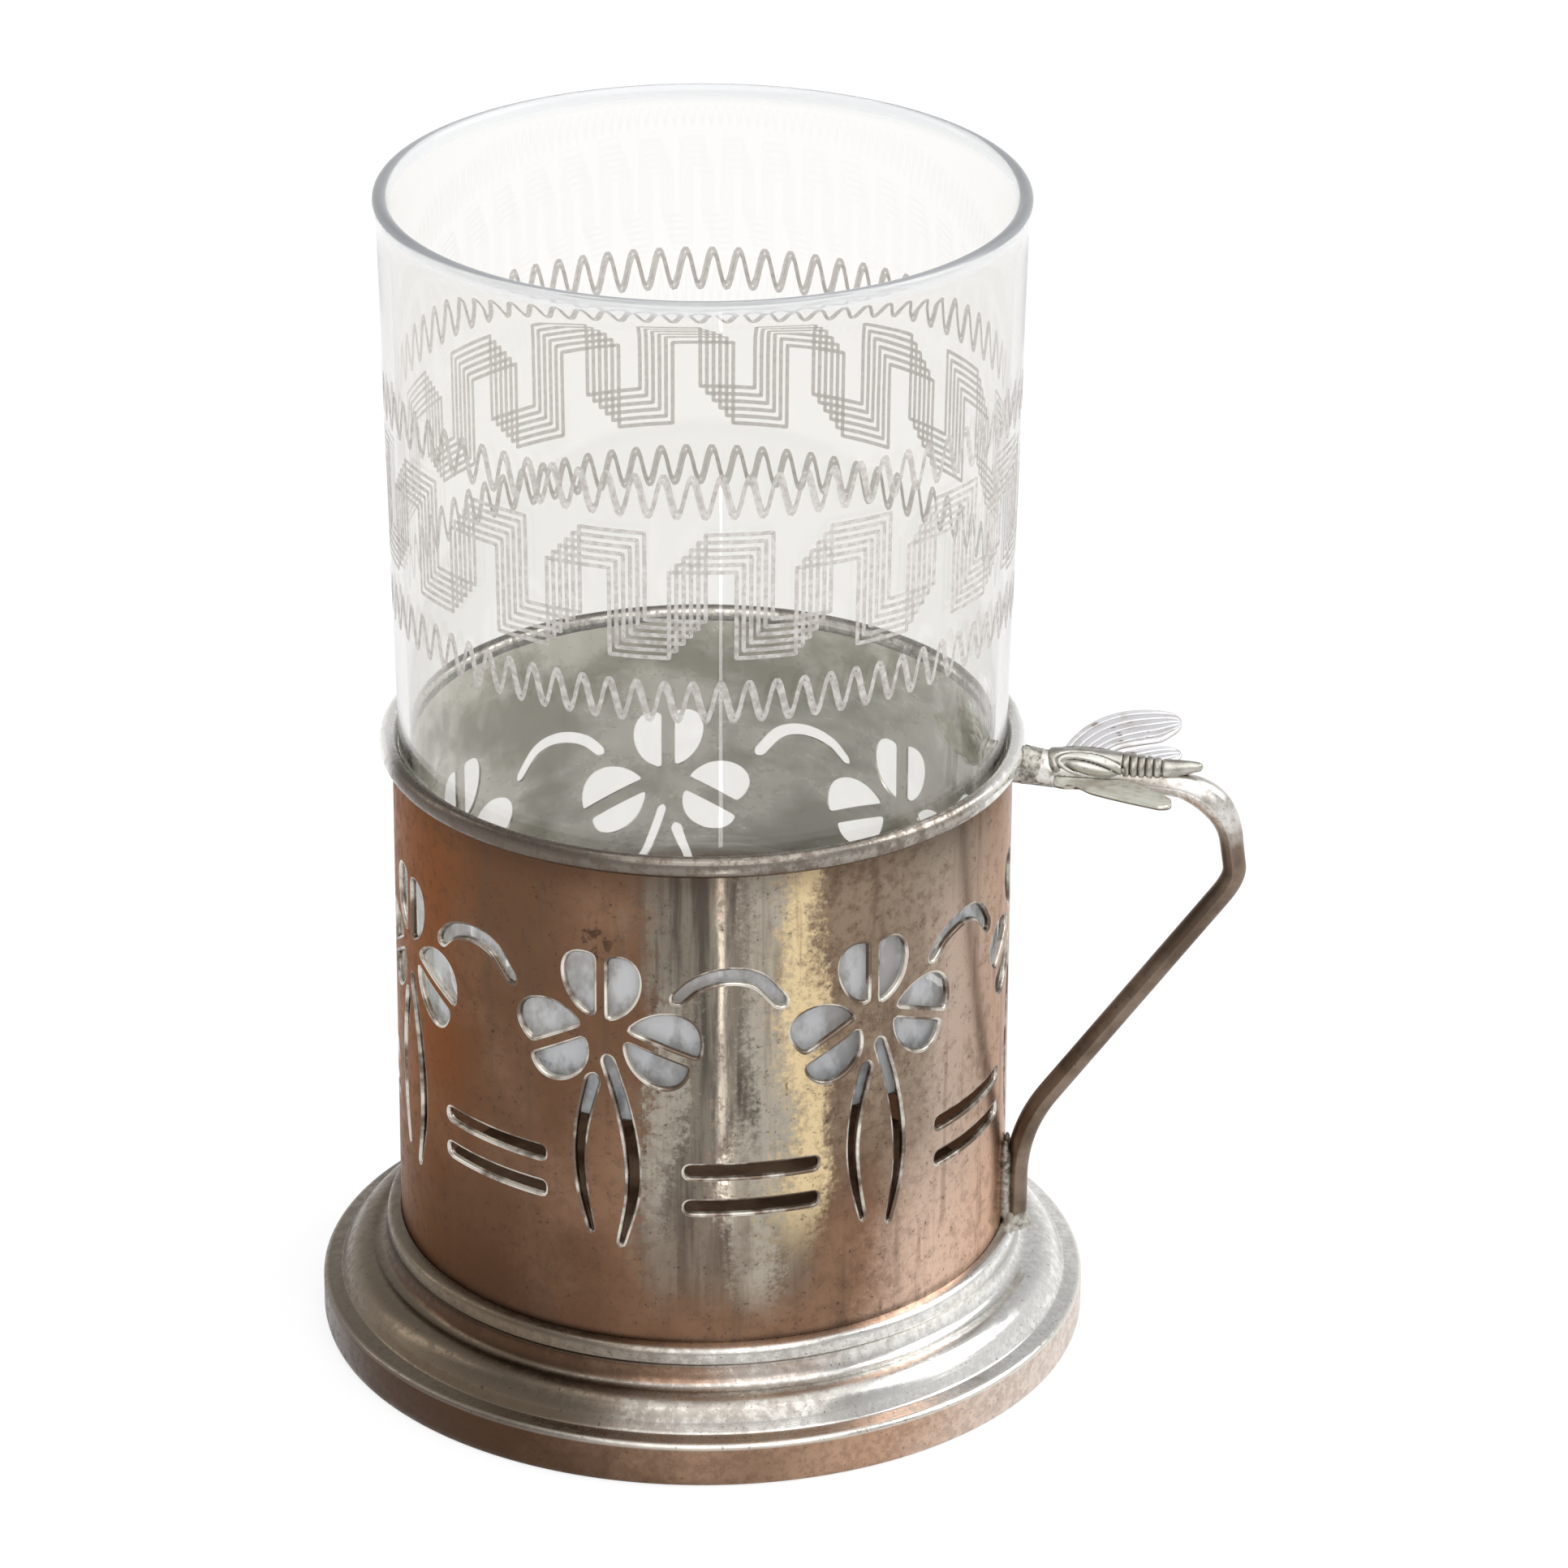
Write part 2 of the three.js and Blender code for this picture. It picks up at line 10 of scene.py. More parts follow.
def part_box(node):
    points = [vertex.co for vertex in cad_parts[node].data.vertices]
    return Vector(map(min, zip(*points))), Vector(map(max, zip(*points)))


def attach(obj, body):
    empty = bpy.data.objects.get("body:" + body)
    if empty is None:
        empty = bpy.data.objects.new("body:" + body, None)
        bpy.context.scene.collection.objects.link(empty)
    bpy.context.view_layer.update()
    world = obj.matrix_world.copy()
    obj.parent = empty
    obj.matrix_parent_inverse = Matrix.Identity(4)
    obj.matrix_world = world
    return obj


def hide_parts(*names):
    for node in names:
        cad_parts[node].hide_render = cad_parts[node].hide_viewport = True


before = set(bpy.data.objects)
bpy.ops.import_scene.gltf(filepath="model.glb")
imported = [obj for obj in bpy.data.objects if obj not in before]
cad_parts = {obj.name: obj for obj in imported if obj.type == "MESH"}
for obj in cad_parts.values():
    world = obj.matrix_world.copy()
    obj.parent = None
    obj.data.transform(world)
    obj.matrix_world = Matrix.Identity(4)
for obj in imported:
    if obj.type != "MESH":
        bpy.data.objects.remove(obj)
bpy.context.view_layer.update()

# Stepped foot
# Spun from plated sheet in steps, hollow below, and soldered round the lower end of the sleeve. The plate is
# rubbed to silver on the steps, with painted light that makes it lighter on the right and darker on the left.
# It is brown on the outer wall, in the cove and on the riser, a painted reflection of a brown room and of the
# sleeve on faces that look outwards. The hem's wear carries a painted highlight, and the skirt's front and
# the ledge's left carry painted shade.
MM = 0.001
foot_low, foot_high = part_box("stepped_foot")
AXIS = Vector(((foot_low.x + foot_high.x) / 2, (foot_low.y + foot_high.y) / 2, 0.0))


def bent(start, corner, end, steps):
    """Points of one smooth bend between two points."""
    a, b, c = Vector(start), Vector(corner), Vector(end)
    shares = [i / steps for i in range(steps + 1)]
    return [a * (1 - t) ** 2 + b * (2 * t * (1 - t)) + c * t * t for t in shares]


def rounded(corners, steps=4):
    """Closed outline whose corners, given as across, up and rounding, are rounded."""
    points = []
    for i, (across, up, rounding) in enumerate(corners):
        here = Vector((across, up))
        before = Vector(corners[i - 1][:2]) - here
        after = Vector(corners[(i + 1) % len(corners)][:2]) - here
        reach = min(rounding, before.length / 2, after.length / 2)
        if reach:
            points += bent(here + before.normalized() * reach, here, here + after.normalized() * reach, steps)
        else:
            points.append(here)
    return points


def turned(outline, sides=256):
    """Points and faces of a closed outline turned about the mug's axis."""
    count = len(outline)
    points = []
    faces = []
    for i in range(sides):
        turn = math.tau * i / sides
        points += [(r * math.cos(turn), r * math.sin(turn), z) for r, z in outline]
        this, other = i * count, (i + 1) % sides * count
        for j in range(count):
            k = (j + 1) % count
            faces.append((this + j, other + j, other + k, this + k))
    return points, faces


def placed(name, mesh, *finishes):
    """Object for a mesh whose points are measured from the foot of the mug's axis."""
    for finish in finishes:
        mesh.materials.append(finish.owner)
    piece = bpy.data.objects.new(name, mesh)
    piece.location = AXIS
    bpy.context.scene.collection.objects.link(piece)
    return piece


def made(name, points, faces, finish, crease=40):
    """Piece from points in millimetres, smooth except at edges sharper than the crease in degrees."""
    mesh = bpy.data.meshes.new(name)
    mesh.from_pydata([Vector(p) * MM for p in points], [], faces)
    work = bmesh.new()
    work.from_mesh(mesh)
    bmesh.ops.remove_doubles(work, verts=work.verts, dist=1e-7)
    bmesh.ops.delete(work, geom=[e for e in work.edges if not e.link_faces], context="EDGES")
    bmesh.ops.recalc_face_normals(work, faces=work.faces)
    work.to_mesh(mesh)
    work.free()
    mesh.shade_smooth()
    mesh.set_sharp_from_angle(angle=math.radians(crease))
    return placed(name, mesh, finish)


def tone(red, with_olive_reflection, blue):
    """Colour for a shader from the levels, 0 to 255, that a screen shows."""
    levels = [level / 255 for level in (red, with_olive_reflection, blue)]
    linear = [((c + 0.055) / 1.055) ** 2.4 if c > 0.04045 else c / 12.92 for c in levels]
    return (*linear, 1.0)


class Value:
    """A socket of a finish, which takes part in sums."""

    def __init__(self, finish, socket):
        self.finish = finish
        self.socket = socket

    def sum(self, operation, first, second):
        return self.finish.node("ShaderNodeMath", {"operation": operation}, {0: first, 1: second})

    def __add__(self, other):
        return self.sum("ADD", self, other)

    def __radd__(self, other):
        return self.sum("ADD", other, self)

    def __sub__(self, other):
        return self.sum("SUBTRACT", self, other)

    def __rsub__(self, other):
        return self.sum("SUBTRACT", other, self)

    def __mul__(self, other):
        return self.sum("MULTIPLY", self, other)

    def __rmul__(self, other):
        return self.sum("MULTIPLY", other, self)

    def __pow__(self, other):
        return self.sum("POWER", self, other)

    def between(self, low, high):
        """0 up to low, 1 from high on, and smooth between them."""
        settings = {"interpolation_type": "SMOOTHSTEP"}
        sockets = {"Value": self, "From Min": low, "From Max": high}
        return self.finish.node("ShaderNodeMapRange", settings, sockets)

    def band(self, low, high, soft):
        """1 from low to high, with soft edges."""
        return self.between(low - soft, low + soft) * self.between(high + soft, high - soft)


class Finish:
    """Nodes of one material or of the world."""

    def __init__(self, owner):
        self.owner = owner
        owner.use_nodes = True
        owner.node_tree.nodes.clear()

    def node(self, kind, settings, sockets, output=0):
        """Any node: its settings, what feeds its sockets, and the output that is used."""
        new = self.owner.node_tree.nodes.new(kind)
        for name, setting in settings.items():
            setattr(new, name, setting)
        for name, value in sockets.items():
            if isinstance(value, Value):
                self.owner.node_tree.links.new(value.socket, new.inputs[name])
            else:
                new.inputs[name].default_value = value
        return Value(self, new.outputs[output]) if new.outputs else None

    def place(self):
        """Position on the piece, in metres from the foot of the mug's axis."""
        return self.node("ShaderNodeTexCoord", {}, {}, "Object")

    def axes(self, vector):
        """The three parts of a vector."""
        parts = self.node("ShaderNodeSeparateXYZ", {}, {0: vector})
        return [Value(self, socket) for socket in parts.socket.node.outputs]

    def noise(self, vector, scale, detail=4.0, rough=0.55):
        """Cloudy noise, about 0.3 to 0.7, with the scale in lumps to a metre."""
        sockets = {"Vector": vector, "Scale": scale, "Detail": detail, "Roughness": rough}
        return self.node("ShaderNodeTexNoise", {}, sockets)

    def mix(self, share, first, second):
        """Colour between two colours."""
        return self.node("ShaderNodeMix", {"data_type": "RGBA"}, {0: share, 6: first, 7: second}, 2)

    def stretched(self, vector, across, along, up):
        """The vector with each of its parts multiplied."""
        sockets = {0: vector, 1: (across, along, up)}
        return self.node("ShaderNodeVectorMath", {"operation": "MULTIPLY"}, sockets)

    def metal(self, colour, roughness, height, metallic=1.0, edge=(1.0, 1.0, 1.0, 1.0)):
        """Metal surface with a bump of the given height in millimetres and a tint at grazing angles."""
        sockets = {"Base Color": colour, "Roughness": roughness, "Metallic": metallic, "Specular Tint": edge}
        sockets["Normal"] = self.node("ShaderNodeBump", {}, {"Distance": MM, "Height": height})
        shader = self.node("ShaderNodeBsdfPrincipled", {}, sockets)
        self.node("ShaderNodeOutputMaterial", {}, {"Surface": shader})


def finish_named(name):
    """Empty finish of a new material."""
    return Finish(bpy.data.materials.new(name))


foot_outline = rounded(
    [(39.1, 0.0, 0.15), (39.75, 0.0, 0.3), (40.0, 0.7, 0.5), (40.0, 4.6, 0.6), (38.05, 4.98, 0.22)]
    + [(37.5, 6.05, 0.2)]
    + [(r, z, 0) for r, z in bent((37.3, 6.35), (36.5, 7.75), (34.75, 7.95), 8)]
    + [(r, z, 0) for r, z in bent((34.5, 7.85), (33.0, 7.9), (32.9, 9.9), 8)]
    + [(32.95, 10.1, 0.1), (33.2, 10.25, 0.2), (33.15, 11.75, 0.75), (31.72, 12.1, 0.1)]
    + [(31.72, 11.2, 0.1), (32.1, 10.5, 0.2), (32.1, 7.85, 0.4), (34.8, 6.95, 0.5), (36.85, 5.6, 0.4)]
    + [(36.95, 4.1, 0.3), (39.1, 3.7, 0.5)]
)
foot_plate = finish_named("foot_plate")
spot = foot_plate.place()
x, y, z = foot_plate.axes(spot)
radius = (x * x + y * y) ** 0.5
cloud = foot_plate.noise(spot, 90.0, 5.0)
blotch = foot_plate.noise(spot, 1000.0, 6.0, 0.7)
pits = foot_plate.noise(spot, 2600.0, 3.0)
along_profile = {"W": (radius + z) * 9000, "Detail": 2.0}
spun = foot_plate.node("ShaderNodeTexNoise", {"noise_dimensions": "1D"}, along_profile)
# Painted light: the plate's colours run lighter to the right and darker to the left, as the light falls.
sideways = x * 25 + 0.9 * (cloud - 0.5)
painted_lit_right = sideways.between(-0.7, 0.9)
outer_wall = z.between(0.0047, 0.0043) * radius.between(0.0388, 0.0392)
cove = z.band(0.0081, 0.0100, 0.0003) * radius.between(0.0346, 0.0340)
riser = z.band(0.0051, 0.0060, 0.0002) * radius.band(0.0374, 0.0381, 0.0002)
hem = z.band(0.0042, 0.0047, 0.00012) * radius.between(0.0393, 0.0396)
ledge = z.band(0.0045, 0.0050, 0.0001) * radius.band(0.0380, 0.0394, 0.0002)
shaded_left_share = sideways.between(0.75, 0.1)
wall_share = outer_wall * (1 - 0.5 * sideways.between(0.2, 0.95))
# Painted reflection: brown on the outer wall, the cove and the riser, faces that look out at a brown room and
# at the sleeve, with more of it on the left as painted shade.
painted_brown_reflection = (wall_share + 0.7 * cove * shaded_left_share + 0.4 * riser * shaded_left_share) * (0.8 + 0.4 * cloud)
mottle = (blotch + 0.3 * cloud).between(0.56, 0.76)
dull = (1 - painted_lit_right) * (0.35 + cloud)
# Painted light: silver from dark on the left to bright on the right.
silver = foot_plate.mix(sideways.between(-0.4, 0.8), tone(112, 99, 83), tone(238, 237, 233))
# Painted shade: the skirt darkened at its front, and the ledge darkened on the left.
skirt_front_shade = radius.band(0.0346, 0.0375, 0.0003) * y.between(-0.026, -0.033) * sideways.between(0.6, 0.1)
painted_dim_skirt = foot_plate.mix(skirt_front_shade * (0.75 - 0.35 * cloud), silver, tone(104, 93, 80))
with_shaded_ledge = foot_plate.mix(ledge * shaded_left_share * 0.55, painted_dim_skirt, tone(124, 114, 100))
stained = foot_plate.mix(mottle * (0.5 - 0.25 * painted_lit_right), with_shaded_ledge, tone(98, 86, 74))
# Painted light: brown from dark on the left to pale on the right.
brown = foot_plate.mix(sideways.between(-0.4, 0.97), tone(76, 56, 42), tone(200, 164, 138))
spotted = foot_plate.mix(mottle * 0.28, brown, tone(72, 52, 40))
# Silver and the painted brown reflection, mixed.
wear_and_painted_light = foot_plate.mix(painted_brown_reflection.between(0.25, 0.75), stained, spotted)
# Painted highlight over wear: the hem rubbed to bright silver, brighter on the right.
rubbed_with_painted_light = foot_plate.mix(hem * (0.1 + 0.7 * painted_lit_right), wear_and_painted_light, tone(226, 224, 216))
specks = pits.between(0.64, 0.71) * 0.6
foot_plate.metal(
    foot_plate.mix(specks, rubbed_with_painted_light, tone(58, 46, 38)),
    0.13 + 0.14 * mottle + 0.14 * dull + 0.1 * specks,
    0.006 * spun + 0.003 * pits + 0.008 * cloud,
)
stepped_foot = made("spun_foot", *turned(foot_outline), foot_plate, 34)
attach(stepped_foot, "holder")
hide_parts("stepped_foot")

# Floor plate
# Plain disc of dull sheet that closes the sleeve's lower end. It is seen only through the piercing and from
# below, so it keeps the tarnish that nobody rubs away.
floor_finish = finish_named("floor_tarnish")
spot = floor_finish.place()
cloud = floor_finish.noise(spot, 120.0, 6.0, 0.6)
grain = floor_finish.noise(spot, 2200.0, 3.0)
floor_finish.metal(
    floor_finish.mix(cloud.between(0.35, 0.65), tone(74, 62, 52), tone(126, 112, 96)),
    0.38 + 0.25 * cloud,
    0.03 * cloud + 0.008 * grain,
)
plate_outline = rounded(
    [(0, 8.3, 0), (31.6, 8.3, 0.2), (31.6, 9.15, 0.2), (27.0, 9.15, 0.8), (25.5, 8.95, 0.8), (0, 8.95, 0)]
)
floor_plate = made("closing_disc", *turned(plate_outline, 160), floor_finish)
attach(floor_plate, "holder")
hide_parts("floor_plate")

# Pierced sleeve
# Thin plated tube with seven repeats of a cut flower, its two leaves, an arch and two level slots. Every hole
# was cut from outside, which left its edge rolled in. It is rubbed bright at the front and brown elsewhere.
# Its colours round the tube are also a painted reflection of a room: darker on the left as painted shade,
# orange at the far left, and pink and olive on the right. There are pale and honey bands of reflected light
# at the front, and painted shade under the ring.
SLEEVE_RADIUS = 31.7
SLEEVE_WALL = 0.55
SLEEVE_LOW = 9.2
SLEEVE_TOP = 65.0
REPEATS = 7
PATTERN_TURN = math.radians(2.6)
LIP = 0.34
FLOWER_HEIGHT = 47.1
CUT_SPACING = 0.28
EDGE_SIDES = 360
FACE_ROWS, FACE_COLUMNS = 32, 110
FACE_CLEARANCE = 1.0
# Level direction towards the side that the photograph shows.
FRONT_X, FRONT_Y = 0.139, -0.990
# Each petal: lobe's direction, side of its rib, start and end along it, lean and swelling at both ends, rib.
PETALS = [
    (90, 1, 1.1, 7.45, 0.2, 1.4, 3.2, 5.2, 1.0),
    (90, -1, 0.8, 7.2, 1.2, 1.7, 4.4, 4.1, 0.5),
    (208, -1, 2.4, 8.5, 0.8, 2.2, 5.0, 5.4, 0.95),
    (208, 1, 2.7, 9.2, 0.4, 0.8, 4.3, 4.3, 0.6),
    (339, 1, 2.6, 10.1, 1.4, -0.6, 4.0, 5.4, 0.65),
    (339, -1, 2.8, 9.6, 1.3, 0.8, 3.8, 4.5, 0.75),
]
# Stations of each slot: place across and up, and half width.
LEFT_LEAF = [
    (-1.1, 40.9, 0.62), (-2.2, 36.4, 0.5), (-2.65, 32.2, 0.42), (-2.3, 28.2, 0.34), (-1.35, 23.8, 0.16)
]
RIGHT_LEAF = [
    (0.45, 43.3, 0.5), (2.0, 38.2, 0.53), (2.95, 33.0, 0.54), (2.95, 28.2, 0.46), (1.75, 22.7, 0.18)
]
ARCH = [(-6.75, 50.55, 0.55), (-4.7, 52.3, 0.62), (-1.6, 53.15, 0.66), (1.4, 52.5, 0.66), (3.85, 49.9, 0.6)]
LEVEL_SLOTS = [31.4, 27.4]
LEVEL_LEFT, LEVEL_RIGHT, LEVEL_HALF = -5.95, 7.65, 0.66


def evened(loop, spacing):
    """Points at even steps round a closed loop."""
    ends = loop[1:] + loop[:1]
    lengths = [(b - a).length for a, b in zip(loop, ends)]
    count = max(12, round(sum(lengths) / spacing))
    step = sum(lengths) / count
    points = []
    side = 0
    passed = 0.0
    for i in range(count):
        while passed + lengths[side] < i * step:
            passed += lengths[side]
            side += 1
        points.append(loop[side].lerp(ends[side], (i * step - passed) / lengths[side]))
    return points


def softened(loop, spacing, passes):
    """Closed loop at even steps, with its corners worn soft, running anticlockwise."""
    points = evened(loop, spacing / 3)
    for _ in range(passes):
        neighbours = zip(points[-1:] + points, points, points[1:] + points[:1])
        points = [(a + 2 * b + c) / 4 for a, b, c in neighbours]
    points = evened(points, spacing)
    area = sum(p.cross(q) for p, q in zip(points, points[1:] + points[:1]))
    return points if area > 0 else points[::-1]


def petal_hole(degrees, side, start, end, lean_in, lean_out, swell_in, swell_out, rib):
    """Cut petal: straight along the rib of its lobe and round outside."""
    along = Vector((math.cos(math.radians(degrees)), math.sin(math.radians(degrees))))
    across = Vector((-along.y, along.x)) * side
    centre = Vector((0, FLOWER_HEIGHT))
    corners = [(end, 0), (end + lean_out, swell_out), (start + lean_in, swell_in), (start, 0)]
    a, b, c, d = [centre + along * s + across * (rib + w) for s, w in corners]
    curve = geometry.interpolate_bezier(a, b, c, d, 30)
    return softened([p.xy for p in curve], CUT_SPACING, 14)


def smooth_line(points, steps):
    """Open line that runs smoothly through its points."""
    spare = [2 * points[0] - points[1]] + points + [2 * points[-1] - points[-2]]
    line = []
    for a, b, c, d in zip(spare, spare[1:], spare[2:], spare[3:]):
        for i in range(steps):
            t = i / steps
            bow = (2 * a - 5 * b + 4 * c - d) * t * t
            twist = (3 * b - a - 3 * c + d) * t ** 3
            line.append((2 * b + (c - a) * t + bow + twist) / 2)
    return line + [points[-1]]


def slot_hole(stations):
    """Cut slot along a line of stations, each a place and a half width, with round ends."""
    line = smooth_line([Vector(s) for s in stations], 10)
    left = []
    right = []
    for i, here in enumerate(line):
        run = (line[min(i + 1, len(line) - 1)] - line[max(i - 1, 0)]).xy.normalized()
        left.append(here.xy + Vector((-run.y, run.x)) * here.z)
        right.append(here.xy - Vector((-run.y, run.x)) * here.z)
    first = (line[0] - line[1]).xy.normalized() * line[0].z
    last = (line[-1] - line[-2]).xy.normalized() * line[-1].z
    return softened([line[0].xy + first] + left + [line[-1].xy + last] + right[::-1], CUT_SPACING, 8)


def level_hole(height):
    """Cut level slot, rounder at its left end."""
    low, high = height - LEVEL_HALF, height + LEVEL_HALF
    corners = [(LEVEL_LEFT, low, 0.6), (LEVEL_RIGHT, low, 0.3)]
    corners += [(LEVEL_RIGHT, high, 0.3), (LEVEL_LEFT, high, 0.6)]
    return softened(rounded(corners), CUT_SPACING, 6)


flower = [petal_hole(*petal) for petal in PETALS] + [slot_hole(LEFT_LEAF), slot_hole(RIGHT_LEAF)]
between_flowers = [slot_hole(ARCH)] + [level_hole(height) for height in LEVEL_SLOTS]
holes = []
for repeat in range(REPEATS):
    for share, loops in ((0.0, flower), (0.5, between_flowers)):
        turn = PATTERN_TURN + math.tau * (repeat + share) / REPEATS
        holes += [[Vector((turn + p.x / SLEEVE_RADIUS, p.y)) for p in loop] for loop in loops]

sleeve_points = []
sleeve_normals = []
sleeve_faces = []
sleeve_finish = []


def sleeve_point(turn, height, depth, lean=0.0, across=Vector((0, 0))):
    """Adds a point of the sleeve at a depth below its outer face, with its normal leant to one side."""
    outwards = Vector((math.cos(turn), math.sin(turn), 0))
    sideways = Vector((-math.sin(turn) * across.x, math.cos(turn) * across.x, across.y))
    sleeve_points.append(outwards * (SLEEVE_RADIUS - depth) + Vector((0, 0, height)))
    sleeve_normals.append(outwards * math.cos(lean) + sideways * math.sin(lean))
    return len(sleeve_points) - 1


def sleeve_face(loops, depth, lean, inside):
    """Adds one face of the sleeve between its two edges and round the loops of its holes."""
    ring = [math.tau * i / EDGE_SIDES for i in range(EDGE_SIDES)]
    heights = (SLEEVE_LOW, SLEEVE_TOP)
    edges = [[sleeve_point(turn, height, depth, lean) for turn in ring] for height in heights]
    kept = [i for loop in loops + edges for i in loop]
    near = kdtree.KDTree(len(kept))
    for i in kept:
        near.insert(sleeve_points[i], i)
    near.balance()
    for row in range(1, FACE_ROWS):
        height = SLEEVE_LOW + (SLEEVE_TOP - SLEEVE_LOW) * row / FACE_ROWS
        for column in range(FACE_COLUMNS):
            turn = math.tau * (column + row % 2 / 2) / FACE_COLUMNS
            here = Vector((SLEEVE_RADIUS * math.cos(turn), SLEEVE_RADIUS * math.sin(turn), height))
            if near.find(here)[2] > FACE_CLEARANCE:
                kept.append(sleeve_point(turn, height, depth, lean))
    order = {i: k for k, i in enumerate(kept)}
    flat = []
    for i in kept:
        point = sleeve_points[i]
        flat.append(point.xy.normalized() * math.exp(point.z / SLEEVE_RADIUS))
    outlines = [[order[i] for i in loop[::-1]] for loop in loops] + [[order[i] for i in edges[0]]]
    rim = [order[i] for i in edges[1]]
    sides = list(zip(rim, rim[1:] + rim[:1]))
    found = geometry.delaunay_2d_cdt(flat, sides, outlines, 0, 1e-6, True)
    for corners, cut in zip(found[2], found[5]):
        if not cut:
            face = [kept[found[3][k][0]] for k in corners]
            sleeve_faces.append(face if inside else face[::-1])
            sleeve_finish.append(int(inside))
    return edges


outer_loops = []
inner_loops = []
for hole in holes:
    rings = [[] for _ in range(7)]
    for before, here, after in zip(hole[-1:] + hole, hole, hole[1:] + hole):
        run = Vector(((after.x - before.x) * SLEEVE_RADIUS, after.y - before.y)).normalized()
        away = Vector((run.y, -run.x))
        for k in range(5):
            lean = math.pi / 2 * k / 4
            step = away * LIP * (1 - math.sin(lean))
            depth = LIP * (1 - math.cos(lean))
            place = (here.x + step.x / SLEEVE_RADIUS, here.y + step.y)
            rings[k].append(sleeve_point(*place, depth, lean, -away))
        rings[5].append(sleeve_point(here.x, here.y, SLEEVE_WALL, math.pi / 2, -away))
        rings[6].append(sleeve_point(here.x, here.y, SLEEVE_WALL, math.pi))
    for upper, lower in zip(rings[:5], rings[1:6]):
        for i in range(len(hole)):
            sleeve_faces.append((upper[i - 1], upper[i], lower[i], lower[i - 1]))
            sleeve_finish.append(2)
    outer_loops.append(rings[0])
    inner_loops.append(rings[6])
outer_edges = sleeve_face(outer_loops, 0.0, 0.0, False)
inner_edges = sleeve_face(inner_loops, SLEEVE_WALL, math.pi, True)
for outer, inner, rising in zip(outer_edges, inner_edges, (False, True)):
    for i in range(len(outer)):
        side = (outer[i - 1], outer[i], inner[i], inner[i - 1])
        sleeve_faces.append(side if rising else side[::-1])
        sleeve_finish.append(0)

sleeve_plate = finish_named("sleeve_plate")
spot = sleeve_plate.place()
x, y, z = sleeve_plate.axes(spot)
right = -FRONT_Y * x + FRONT_X * y
front = FRONT_X * x + FRONT_Y * y
turn = sleeve_plate.node("ShaderNodeMath", {"operation": "ARCTAN2"}, {0: right, 1: front})
cloud = sleeve_plate.noise(spot, 55.0, 4.0, 0.5)
streak = sleeve_plate.noise(sleeve_plate.stretched(spot, 1.0, 1.0, 0.07), 420.0, 4.0, 0.6)
blotch = sleeve_plate.noise(spot, 700.0, 6.0, 0.7)
pits = sleeve_plate.noise(spot, 2600.0, 3.0)
grit = sleeve_plate.noise(spot, 1500.0, 4.0, 0.7)
wander = turn + 0.35 * (cloud - 0.5) + 0.14 * (streak - 0.5) + 0.22 * (grit - 0.5)
# Painted reflection: the rubbed front keeps grey streaks of reflected dark, and pale, gleaming and honey
# bands of reflected light, which end above the foot.
above_foot = (z + 0.008 * (cloud - 0.5)).between(0.0135, 0.0205)
rubbed_with_painted_light = wander.band(-0.19, 0.36, 0.07) * above_foot
left_painted_gleam = wander.band(-0.17, -0.07, 0.03) * z.band(0.026, 0.050, 0.006)
pale = (wander.band(0.12, 0.24, 0.04) + 0.8 * left_painted_gleam) * above_foot
honey_reflection = wander.band(0.24, 0.36, 0.05) * z.between(0.0185, 0.0300)
# Painted reflection of a room round the tube: olive and pink to the right, orange at the far left, and
# painted shade that darkens the left, most of all low down.
olive_reflection = wander.band(0.36, 0.80, 0.10) * z.between(0.022, 0.038)
rose_reflection = wander.between(0.50, 0.85) * wander.between(2.6, 1.7)
orange_reflection = wander.between(-0.7, -1.05) * wander.between(-2.7, -1.9) * z.between(0.020, 0.042)
painted_shade_left = wander.between(-0.2, -0.7) * wander.between(-2.7, -1.8)
low_part = z.between(0.034, 0.014)
high_part = z.between(0.050, 0.0645)
# Brown that is partly tarnish and partly a painted reflection of a brown room.
brown = sleeve_plate.mix(cloud.between(0.38, 0.62), tone(108, 80, 61), tone(134, 104, 83))
with_left_shade = sleeve_plate.mix(painted_shade_left * (0.35 + 0.65 * low_part), brown, tone(82, 58, 43))
with_orange_reflection = sleeve_plate.mix(orange_reflection * 0.75, with_left_shade, tone(116, 68, 38))
rose_reflection_tone = sleeve_plate.mix(low_part, tone(180, 162, 148), tone(216, 186, 166))
with_rose_reflection = sleeve_plate.mix(rose_reflection, with_orange_reflection, sleeve_plate.mix(high_part, rose_reflection_tone, tone(136, 126, 114)))
olive_reflection_tone = sleeve_plate.mix(blotch.between(0.40, 0.60), tone(138, 124, 108), tone(120, 106, 91))
with_olive_reflection = sleeve_plate.mix(olive_reflection * 0.7, with_rose_reflection, olive_reflection_tone)
grey = sleeve_plate.mix(streak.between(0.42, 0.60), tone(80, 74, 68), tone(124, 116, 104))
bare = sleeve_plate.mix(rubbed_with_painted_light, with_olive_reflection, sleeve_plate.mix(low_part * 0.5, grey, tone(128, 106, 90)))
light = sleeve_plate.mix(pale * 0.6, bare, tone(188, 180, 165))
with_honey_reflection = sleeve_plate.mix(honey_reflection * 0.85, light, tone(228, 204, 160))
streaked = sleeve_plate.mix(streak.between(0.54, 0.68) * 0.4, with_honey_reflection, tone(88, 72, 60))
stain = (blotch + 0.3 * cloud).between(0.62, 0.80)
stained = sleeve_plate.mix(stain * 0.28, streaked, tone(84, 66, 53))
across = SLEEVE_RADIUS * MM * (turn + 0.36)
above = z - 0.0560
scab = (across * across + above * above).between(0.000009, 0.000001) * blotch.between(0.48, 0.58)
specks = pits.between(0.60, 0.68) * blotch.between(0.42, 0.6)
